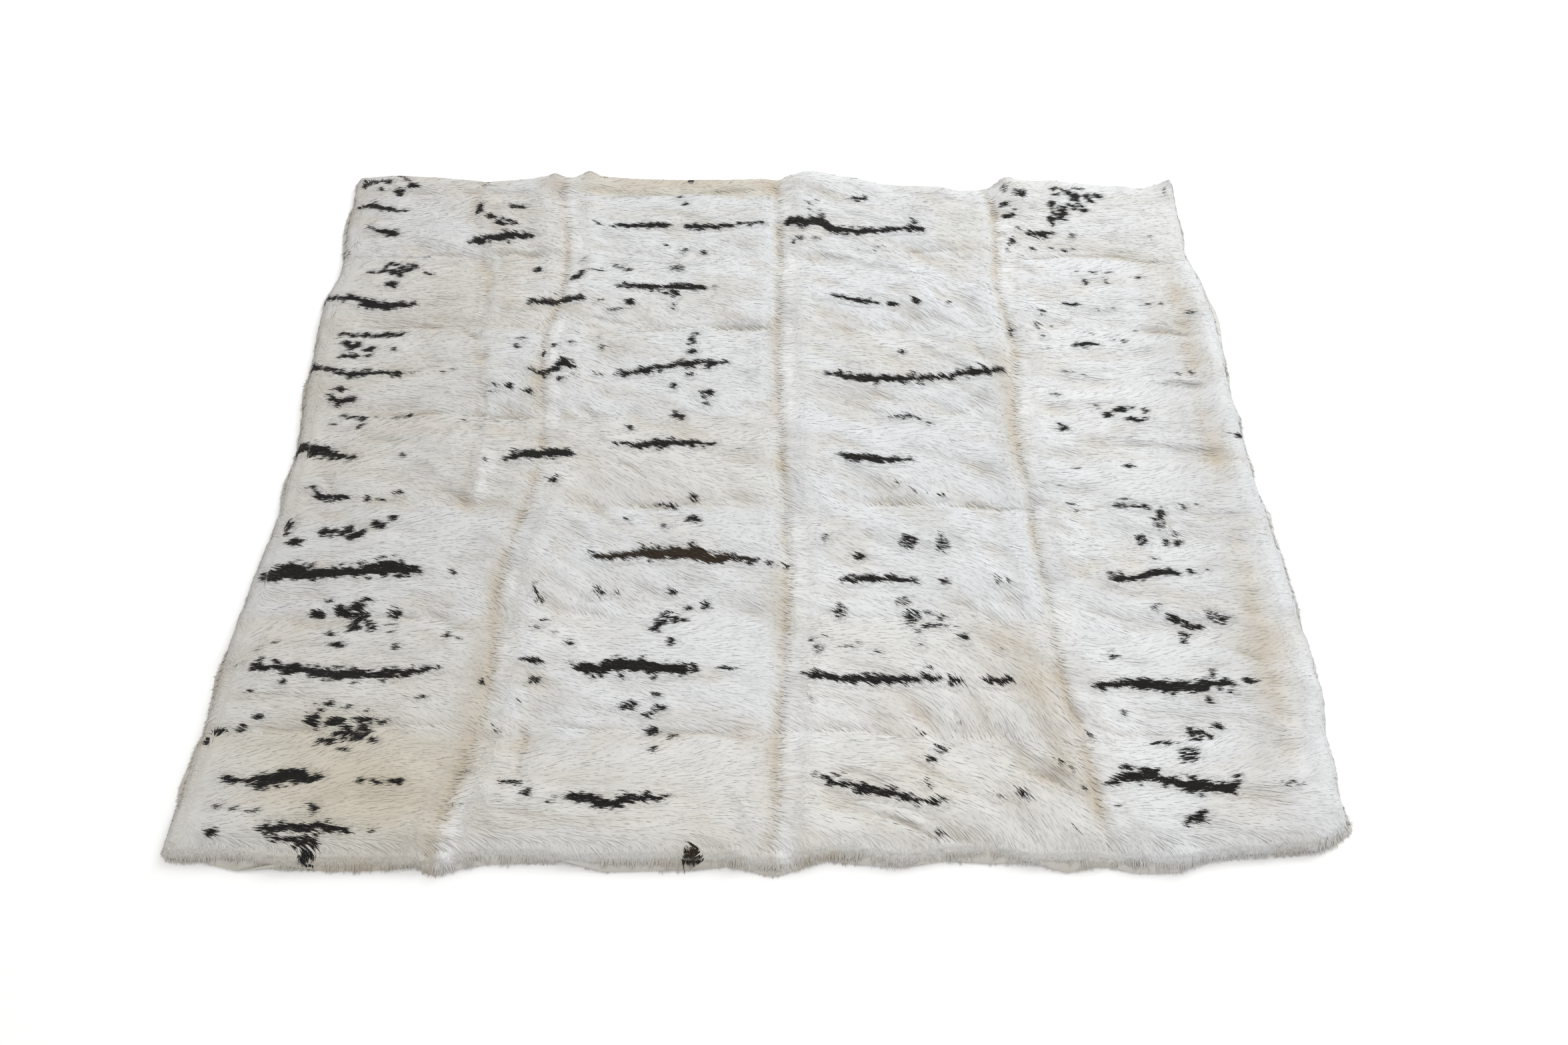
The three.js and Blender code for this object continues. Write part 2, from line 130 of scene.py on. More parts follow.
# Along the seams: how far the fur fills the solids' valleys, its lift beside them, and the rows' furrows
SEAM_STEPS = 24
SEAM_FILL = 5.2 * MM
SEAM_FILL_SPREAD = 5.5
SEAM_LIFT = 1.3 * MM
SEAM_LIFT_SPREAD = 3.0
ROW_FILL = 1.1 * MM
ROW_FILL_SPREAD = 5
ROW_FURROW = 0.45 * MM
ROW_FURROW_SPREAD = 1.8
SEAM_MIDDLE = 0.8
SEAM_SWELL = {"size": 38 * MM, "swing": 0.5, "seed": 42}

# Hollows, where the hair is shorter and tinted warm by painted shade, and warm mottling along the lie of the
# hair
HOLLOW_SPREAD = 5
HOLLOW_DEPTH = 1.8 * MM
HOLLOW_SHADE_TINT = 0.48
MOTTLE = {"size": 24 * MM, "length": 62 * MM, "share": 0.26, "seed": 51}

# Bands of warmer hair and warm painted shade along the upright seams, in their valleys and beside their ridges:
# steps of the grid to the right, spread and strength
SEAM_WARMTH_AND_SHADE = ((-2, 1.9, 0.52), (11, 2.6, 0.25))
WARM_SEED = 43

# A painted highlight in a band just right of them, where the plush stands up to the light: steps, spread,
# strength.
# It fades in between two places along x, so that the short seam of the left column has none
HIGHLIGHT_BAND = (6, 3.4, 1.2)
HIGHLIGHT_FROM = (-345, -325)
HIGHLIGHT_SEED = 44

# How the bands swell and fade along a seam
BAND_MIDDLE = 0.65
BAND_SWELL = {"size": 45 * MM, "swing": 0.9}
BAND_LIMITS = (0.1, 1.4)

# Leather, and the dense under-fur on it
HIDE_BOTTOM = 0.5 * MM
HIDE_TOP = 1.7 * MM
FUR_BOTTOM = 1.9 * MM
UNDER_FUR_MIDDLE = FUR_BOTTOM + 0.5 * MM
UNDER_FUR_TOP = FUR_BOTTOM + 1 * MM
UNDER_FUR_DROP = 0.35 * MM
UNDER_FUR_CUTS = 4
UNDER_FUR_SHADE = 0.9
UNDER_FUR_DARK = 0.75

# The under-fur's skirt down the rim: how far its top and its wavy foot stand out from the leather's edge
SKIRT_TOP = 3.5 * MM
SKIRT_FOOT = 7 * MM
SKIRT_LEAST = 2.5 * MM
SKIRT_WAVE = {"size": 36 * MM, "swing": 5.5 * MM, "seed": 19}
SKIRT_RIPPLE = {"size": 13 * MM, "swing": 1.6 * MM, "seed": 20}
ON_RIM = 0.2 * MM
FOOT_LEVEL = 0.45
FOOT_OUTWARD = 0.7
FOOT_UPWARD = 0.72

# Overcast stitches on the leather side
STITCH_PITCH = 7 * MM
STITCH_LENGTH = 6 * MM
STITCH_WIDTH = 0.9 * MM
STITCH_SLANT = 2 * MM
STITCH_HEIGHT = 0.9 * MM
STITCH_SUNK = 0.25 * MM
STITCH_SHOULDER = 0.35
STITCH_POINTS = 16

# Locks of hair, in millimetres: spacing of their roots, length, width, and how far root, crest and tip are
# from the pile. The finer ones grow where the share of dark hair nearby is over the next value
COAT = {"spacing": 3.25, "length": (16, 26), "width": (2.0, 3.4), "sink": 0.35, "crest": 0.14, "tip": 0.16}
FINE = {"spacing": 1.6, "length": (7, 12), "width": (0.8, 1.5), "sink": 0.3, "crest": 0.2, "tip": 0.2}
MARKED_FROM = 0.05
HOLLOW_SHORTER = 0.5
CREST_SHARE = 0.42
CREST_RANGE = (0.2, 1)
TIP_RANGE = (-0.6, 1)
LEAST_ARCH = 0.1 * MM
TIP_FLOOR = 0.5 * MM
LOCK_CURL = 0.09
# Painted shade along a lock, at its root's two points, crest and tip: darker at the root
PAINTED_ROOT_SHADE = (0.97, 0.97, 1.0, 1.01)
BRIGHTNESS = (0.985, 1.01)

# Locks down the rim's slope, with their sizes in millimetres
RIM_LAYERS = 5
RIM_PITCH = 1.0
RIM_DEPTH = (-7, 5)
RIM_LENGTH = (6, 11)
RIM_FUZZ = (-2.5, 4.5)
RIM_WIDTH = (1.2, 2.4)
RIM_SHORTEST = 2.5
RIM_THINNING = 2
RIM_SINK = 0.3
RIM_CREST = 0.12
RIM_TIP_DROP = 0.2
# Painted shade on the rim's locks, up to this share, darker the further out their roots lie
RIM_SHADE = 0.17

# How the rim's locks turn from straight outwards, in degrees and in radians, and how the coat near the rim
# turns outwards and grows shorter, by the share of pelt round a place
RIM_TURN = 20
RIM_WAVES = {"size": 22 * MM, "swing": 0.5, "seed": 17}
RIM_TURNING = (0.55, 0.93)
RIM_PULL = 1.6
RIM_STOP = 0.41
RIM_LEAST_SHARE = 0.2

# How the hair's lie varies over the blanket and fans out on a pelt, in degrees, and how its shading follows
# the locks' sides and tips and the pile's relief, up to the steepest slope
FLOW_NOISE = 10
FLOW_WAVES = ({"size": 45 * MM, "swing": 1, "seed": 3}, {"size": 15 * MM, "swing": 0.6, "seed": 4})
FAN_TURN = 16
SIDE_LEAN = 0.05
TIP_LEAN = 0.04
RELIEF_GAIN = 1.3
STEEPEST = 0.85

# The map for baking: how far a lock and the pile's height draw it out, its scale, and its margin
MAP_LOCK = 0.3
MAP_HEIGHT = 0.3
MAP_SCALE = 1.02
MAP_MARGIN = 0.005

# Colours, as linear red, green and blue
WHITE = (0.78, 0.795, 0.81)
# PALEST is the colour of the painted highlight right of the upright seams, and of the paler tints, some of them
# painted light
PALEST = (0.9, 0.9, 0.9)
IVORY = (0.762, 0.757, 0.742)
CREAM = (0.72, 0.688, 0.618)
BLACK = (0.012, 0.011, 0.010)
BROWN_BLACK = (0.036, 0.024, 0.015)
# BEIGE is a warm hair tone, and also the colour of the warm painted shade in hollows and along the seams
BEIGE = (0.585, 0.515, 0.415)
TAN = (0.505, 0.405, 0.29)
STRAW = (0.66, 0.60, 0.46)
# SHADE is a colour of painted shade, used in the tints
SHADE = (0.52, 0.49, 0.455)
COAT_TONES = {"white_fur": WHITE, "ivory_fur": IVORY, "cream_fur": CREAM}
LEATHER_TONES = ((0.60, 0.50, 0.38), (0.86, 0.79, 0.68))
LEATHER_WORN = (0.90, 0.86, 0.78)
THREAD_TONES = ((0.70, 0.66, 0.58), (0.88, 0.85, 0.79))

# How the light hair's colour varies: its mottling, and how much that changes tints, the warm tone with its
# painted shade, and brightness
COAT_MOTTLE = ({"size": 38 * MM, "swing": 0.6, "seed": 7}, {"size": 11 * MM, "swing": 0.4, "seed": 8})
TINT_FALL = 0.7
TINT_UNEVEN = 0.55
WARM_MIDDLE = 0.8
WARM_UNEVEN = 0.6
COAT_UNEVEN = 0.02

# Way the hair lies: x, y and the turn from +x in degrees
FLOW = (
    (-480, 480, 0), (-480, 250, -5), (-480, 0, 0), (-480, -250, 0), (-480, -450, 5),
    (-330, 400, -25), (-320, 150, -20), (-320, -100, -15), (-320, -350, -20),
    (-220, 450, -10), (-130, 300, -15), (-220, 150, -35), (-130, 50, -20), (-200, -60, -40),
    (-100, -120, -30), (-220, -250, -45), (-120, -330, -10), (-150, -480, 0), (-20, 250, -20),
    (-10, 0, -15), (0, -250, -15), (0, -450, -10), (100, 450, -20), (200, 400, -30),
    (150, 250, -20), (250, 200, -50), (120, 60, -15), (260, 0, -30), (100, -90, -40),
    (200, -100, -35), (150, -250, -10), (280, -250, -40), (120, -400, -20), (235, -390, -75),
    (290, -440, -55), (150, -500, -15), (450, 450, -10), (550, 400, 0), (430, 200, 0),
    (430, 0, 0), (450, -150, -20), (450, -350, 0), (430, -480, 0), (550, 100, 10),
    (550, -200, 5), (550, -450, -10),
)
FLOW_SPREAD = 70 * MM

# Tinted places: x, y, spread along x, spread along y, colour and strength. The SHADE rows are painted shade,
# down the side rims, over the far rows and darker towards the left; the broad PALEST row along the near side is
# painted light, and the narrow PALEST rows just right of the upright seams and on the right rim are painted
# highlight
TINTS = (
    (80, -480, 420, 150, PALEST, 0.3), (0, -250, 260, 120, PALEST, 0.12), (430, 60, 90, 480, PALEST, 0.15),
    (545, 90, 30, 230, SHADE, 0.36), (540, -330, 28, 260, SHADE, 0.24), (200, 420, 200, 60, SHADE, 0.1),
    (-578, 0, 18, 620, SHADE, 0.25), (465, 430, 110, 95, WHITE, 0.75), (-242, -56, 24, 36, PALEST, 0.55),
    (-214, -262, 32, 42, PALEST, 0.6), (-263, 350, 12, 60, PALEST, 0.4), (572, -350, 10, 110, PALEST, 0.5),
    (58, -420, 18, 60, PALEST, 0.4), (368, -400, 22, 60, PALEST, 0.5), (352, 84, 16, 60, PALEST, 0.4),
    (-540, -500, 34, 26, PALEST, 0.3), (90, -215, 44, 30, PALEST, 0.35), (430, 30, 60, 70, PALEST, 0.3),
    (-548, -470, 50, 70, WHITE, 0.6), (-450, -526, 150, 16, WHITE, 0.7),
    (-120, 495, 120, 18, BEIGE, 0.55), (-300, 490, 20, 22, TAN, 0.6), (12, 490, 14, 22, TAN, 0.5),
    (-530, 520, 30, 8, TAN, 0.35), (-430, 265, 50, 60, BEIGE, 0.28), (-400, -465, 82, 62, STRAW, 0.7),
    (-480, -420, 60, 40, STRAW, 0.35), (-300, -430, 14, 50, BEIGE, 0.8), (-320, -505, 14, 35, BEIGE, 0.6),
    (-455, -480, 25, 14, BEIGE, 0.4), (-287, 95, 11, 50, BEIGE, 0.7), (-297, -225, 12, 60, BEIGE, 0.9),
    (-300, -330, 14, 40, BEIGE, 0.6), (-240, 40, 6, 6, TAN, 0.7), (20, 180, 10, 24, TAN, 0.5),
    (20, 70, 9, 20, BEIGE, 0.7), (22, -435, 10, 28, TAN, 0.6), (24, -250, 9, 70, BEIGE, 0.45),
    (240, 420, 30, 40, SHADE, 0.3), (315, 20, 12, 60, BEIGE, 0.75), (312, 120, 12, 40, BEIGE, 0.5),
    (270, -290, 30, 22, BEIGE, 0.55), (300, -350, 20, 30, BEIGE, 0.6), (345, -460, 8, 50, TAN, 0.45),
    (320, -410, 16, 40, BEIGE, 0.6), (562, 220, 14, 80, BEIGE, 0.6), (562, -20, 13, 30, BEIGE, 0.6),
    (558, -245, 16, 50, BEIGE, 0.75), (556, -340, 18, 50, BEIGE, 0.7), (328, 319, 5, 11, TAN, 0.6),
    (285, 400, 30, 50, STRAW, 0.3), (-150, 230, 90, 30, STRAW, 0.2), (150, -470, 120, 40, STRAW, 0.16),
    (-120, -480, 90, 40, STRAW, 0.18), (-560, 60, 20, 120, STRAW, 0.2), (180, 150, 110, 35, STRAW, 0.12),
    (-500, 0, 230, 700, SHADE, 0.4), (-100, 0, 200, 600, SHADE, 0.08), (-500, 500, 300, 80, SHADE, 0.2),
    (470, 0, 120, 700, SHADE, 0.07),
)

# Tufts that stand up along the rim: x, y, rise and spread
RIM_HUMPS = (
    (-303, 511, 6, 9), (-252, 513, 7, 11), (-278, 500, 3, 22), (35, 505, 4, 10), (72, 515, 6, 26),
    (130, 500, 4, 13), (160, 490, 2, 12), (262, 482, 3, 11), (352, 502, 6, 12), (425, 498, 2, 16),
    (520, 488, 3, 12), (590, 492, 11, 11), (586, 470, 4, 13), (-590, 508, 3, 13), (-470, 505, 2, 16),
    (-20, -540, 3, 9), (22, -545, 5, 9), (-312, -545, 5, 9), (-318, -520, 3, 10), (60, -532, 2, 13),
    (598, -345, 3, 14), (600, -240, 3, 16), (598, -80, 2, 18), (598, 60, 2, 16), (598, 240, 3, 18),
    (596, -490, 3, 14), (430, -543, 3, 14), (-470, -545, 2, 16), (-580, -430, 2, 16), (-582, -290, 2, 14),
)

# Creases and small folds, as short straight lines: both ends, rise or fall at the middle, and spread
CREASES = (
    (-395, 440, -335, 456, 1.6, 5), (-335, 456, -272, 446, 1.4, 5), (-390, 352, -330, 346, 1.5, 4),
    (-330, 346, -268, 350, 1.2, 4), (-375, 337, -290, 335, -1.2, 5), (-540, 197, -400, 198, -1.3, 4),
    (-398, 196, -362, 168, -1.4, 5), (-362, 168, -352, 130, -1.4, 5), (-350, 110, -346, 0, -1.2, 4),
    (-490, 44, -380, 44, -1.6, 4), (-380, 43, -275, 39, -1.5, 4), (-500, 10, -420, -8, -1.0, 7),
    (-425, -18, -370, -60, 1.0, 7), (-395, -70, -335, -100, -0.9, 7), (-330, -130, -285, -165, 1.2, 8),
    (-230, 462, -120, 470, -1.0, 5), (-120, 470, 10, 478, -1.1, 5), (-70, 205, 18, 197, -1.8, 4),
    (-165, 190, -60, 204, -1.0, 4), (-240, 340, -150, 332, 0.8, 4), (-150, 332, -30, 322, 0.8, 4),
    (-230, 222, -175, 205, -1.2, 5), (-60, 178, -10, 150, 1.0, 7), (-205, 20, -150, -12, 1.3, 7),
    (-230, 60, -205, 28, -1.5, 6), (-180, -30, -135, -62, -1.2, 6), (-130, -30, -98, -58, -1.1, 6),
    (-75, -50, -45, -95, 1.1, 8), (-50, -30, -22, -78, -1.0, 7), (-160, -104, -70, -98, -1.3, 3.5),
    (-235, -105, -185, -150, 1.5, 7), (-205, -100, -160, -140, -1.3, 6), (-110, -130, -60, -145, 0.9, 7),
    (-225, -395, -120, -402, -1.0, 4), (-120, -402, 10, -412, -0.9, 4), (-230, -235, -120, -262, 0.8, 6),
    (-248, -385, -240, -470, -1.4, 6), (-282, -455, -255, -515, 1.4, 7), (-268, -440, -262, -500, -1.2, 6),
    (-25, -470, -5, -500, 1.2, 5), (-60, -520, -10, -530, 1.0, 6), (45, 350, 130, 343, 0.9, 4),
    (130, 343, 300, 350, -0.8, 5), (180, 330, 225, 280, 1.1, 8), (205, 345, 250, 300, -1.0, 7),
    (220, 290, 245, 235, -1.2, 6), (255, 330, 290, 262, 0.9, 8), (90, 300, 125, 275, 0.8, 7),
    (100, 210, 150, 178, 0.8, 7), (200, 190, 240, 140, 1.2, 7), (270, 190, 290, 120, -1.2, 7),
    (120, 150, 165, 132, -0.7, 6), (55, 40, 120, 28, 0.7, 6), (260, 60, 300, 20, -1.0, 7),
    (120, -95, 200, -99, -1.2, 4), (200, -99, 320, -106, -1.5, 4), (70, -80, 100, -120, 1.4, 7),
    (105, -120, 130, -175, 0.9, 8), (230, -125, 262, -200, 1.2, 9), (250, -230, 268, -275, -1.1, 8),
    (290, -140, 305, -215, 1.3, 7), (60, -250, 130, -262, -0.8, 4), (60, -400, 180, -408, -0.9, 4),
    (205, -372, 222, -420, -0.8, 5), (235, -350, 250, -400, 0.8, 5), (150, -425, 215, -470, -1.2, 5),
    (70, -440, 150, -455, 0.9, 4), (125, -497, 205, -528, -2.2, 4), (110, -485, 190, -515, 1.2, 5),
    (270, -440, 330, -480, -1.6, 5), (285, -425, 345, -470, 1.3, 6), (355, 330, 470, 338, -1.1, 4),
    (470, 338, 575, 326, -0.9, 4), (345, 345, 385, 300, 1.2, 7), (500, 202, 560, 196, 2.0, 4),
    (500, 192, 590, 188, -1.5, 4), (500, 104, 560, 101, 1.8, 4), (505, 95, 580, 93, -1.2, 4),
    (360, 200, 372, 160, -0.8, 6), (430, -8, 560, -12, -0.8, 5), (360, -110, 480, -98, -0.9, 4),
    (372, -140, 412, -200, 1.3, 8), (350, -250, 420, -262, -0.8, 4), (505, -240, 560, -262, 0.9, 6),
    (360, -405, 450, -410, -0.8, 4), (520, -300, 560, -322, -1.2, 7), (525, -380, 560, -395, 1.1, 7),
    (-560, 25, -530, -30, 1.4, 7), (-530, -40, -505, -95, -1.2, 6), (-440, -255, -370, -262, -0.8, 4),
    (-370, -250, -310, -285, -1.1, 6), (-390, -262, -320, -305, 1.0, 7), (-560, -398, -440, -404, -0.8, 4),
    (-440, -404, -310, -392, -1.1, 4), (-470, 340, -415, 336, -1.0, 4), (-585, 339, -500, 338, -0.8, 4),
)

# Stripes along the middle of the pelts: the colour of their hair, then x, y and half width at each point
STRIPES = (
    (BLACK, (-537, 524, 3), (-527, 512, 4), (-516, 500, 3)),
    (BLACK, (-578, 445, 4), (-563, 448, 8), (-535, 436, 5), (-520, 432, 4), (-508, 434, 2)),
    (BLACK, (-557, 399, 2), (-538, 390, 3), (-512, 384, 6)),
    (BLACK, (-590, 259, 4), (-546, 253, 6), (-529, 243, 10), (-503, 239, 7), (-465, 241, 5)),
    (BLACK, (-407, 490, 1.5), (-402, 500, 1.5), (-397, 510, 1.5)),
    (BLACK, (-406, 366, 5), (-384, 372, 8), (-358, 380, 12), (-324, 382, 5)),
    (BLACK, (-312, 242, 5), (-282, 246, 6), (-265, 253, 6), (-240, 253, 6)),
    (BLACK, (-557, 189, 3), (-512, 184, 3), (-471, 189, 4)),
    (BLACK, (-582, 131, 4), (-542, 116, 4), (-525, 112, 5), (-493, 116, 4), (-463, 116, 4)),
    (BLACK, (-301, 121, 2), (-277, 115, 4), (-256, 129, 8), (-238, 124, 4)),
    (BLACK, (-546, 75, 4), (-533, 65, 5), (-512, 69, 4)),
    (BLACK, (-525, 42, 1.5), (-495, 40, 1.5)),
    (BLACK, (-572, -5, 8), (-545, -12, 10), (-520, -20, 6), (-492, -25, 3)),
    (BLACK, (-314, -28, 3), (-282, -21, 10), (-264, -19, 8), (-232, -21, 8)),
    (BLACK, (-540, -73, 2), (-525, -85, 5), (-491, -89, 3)),
    (BLACK, (-570, -203, 5), (-538, -194, 15), (-512, -200, 10), (-461, -198, 8), (-427, -192, 13),
     (-388, -196, 5)),
    (BLACK, (-548, -326, 6), (-512, -326, 5), (-478, -331, 7), (-439, -333, 8), (-410, -333, 6),
     (-384, -329, 5), (-346, -325, 3)),
    (BLACK, (-552, -457, 3), (-527, -461, 3), (-499, -459, 8), (-478, -452, 10), (-446, -458, 3)),
    (BLACK, (-499, -510, 3), (-486, -514, 7), (-469, -509, 3), (-456, -513, 6), (-442, -508, 3),
     (-428, -512, 5), (-405, -517, 3)),
    (BLACK, (-237, 406, 2), (-228, 402, 2)),
    (BLACK, (-211, 399, 4), (-179, 399, 5), (-158, 402, 4), (-132, 403, 3)),
    (BLACK, (-109, 402, 5), (-98, 402, 8), (-70, 400, 5), (-49, 401, 3), (-26, 404, 3), (0, 403, 3)),
    (BLACK, (-196, 278, 4), (-171, 278, 5), (-128, 276, 6), (-81, 276, 5)),
    (BLACK, (-188, 115, 3), (-158, 118, 5), (-128, 125, 6), (-94, 133, 6), (-45, 135, 3)),
    (BLACK, (-179, -6, 2), (-149, -8, 5), (-107, -4, 8), (-55, -3, 2)),
    (BLACK, (-124, -99, 1.5), (-98, -98, 1.5)),
    (BROWN_BLACK, (-194, -171, 2), (-175, -177, 5), (-137, -171, 8), (-111, -173, 8), (-77, -171, 12),
     (-60, -179, 10), (-30, -177, 5), (-4, -181, 5)),
    (BLACK, (-254, -213, 1.5), (-243, -239, 1.5)),
    (BLACK, (-203, -320, 3), (-179, -326, 8), (-145, -322, 10), (-107, -326, 10), (-79, -328, 8)),
    (BLACK, (-192, -480, 3), (-166, -480, 5), (-149, -487, 7), (-128, -480, 6), (-87, -478, 2)),
    (BLACK, (38, 406, 10), (64, 406, 10), (81, 411, 12), (98, 393, 8), (136, 387, 8), (171, 391, 6),
     (200, 393, 4), (224, 391, 6)),
    (BLACK, (94, 257, 3), (124, 250, 5), (156, 245, 4)),
    (BLACK, (81, 113, 2), (107, 110, 6), (141, 103, 7), (192, 107, 6), (239, 110, 4), (262, 116, 6),
     (294, 115, 6), (313, 120, 3)),
    (BLACK, (160, 42, 1.5), (200, 43, 1.5)),
    (BLACK, (92, -20, 2), (115, -25, 6), (149, -29, 6), (168, -31, 4), (188, -28, 2)),
    (BLACK, (99, -209, 5), (128, -206, 6), (158, -206, 6), (171, -209, 4), (182, -210, 2)),
    (BLACK, (51, -335, 3), (85, -339, 4), (119, -339, 6), (153, -340, 6), (181, -338, 4), (200, -339, 3)),
    (BLACK, (72, -459, 2), (107, -467, 4), (141, -474, 5), (162, -482, 4), (183, -484, 4), (196, -482, 2)),
    (BLACK, (371, 384, 5), (392, 383, 7), (407, 386, 4)),
    (BLACK, (348, 468, 1.5), (348, 486, 1.5)),
    (BLACK, (403, 245, 2), (422, 240, 2)),
    (BLACK, (410, 165, 4), (424, 168, 5), (441, 167, 4)),
    (BLACK, (422, -98, 2), (439, -102, 2), (463, -105, 3)),
    (BLACK, (403, -209, 7), (427, -207, 6), (448, -201, 6), (469, -198, 4), (482, -198, 2)),
    (BLACK, (463, -259, 4), (482, -267, 3), (495, -272, 3)),
    (BLACK, (365, -348, 4), (384, -346, 5), (418, -344, 7), (452, -349, 8), (473, -350, 7), (499, -345, 6),
     (518, -346, 3)),
    (BLACK, (363, -461, 4), (384, -457, 7), (405, -455, 7), (435, -465, 7), (452, -465, 9),
     (473, -469, 6), (489, -469, 7), (497, -460, 5)),
    (BLACK, (434, -509, 3), (446, -503, 4), (459, -496, 3)),
)

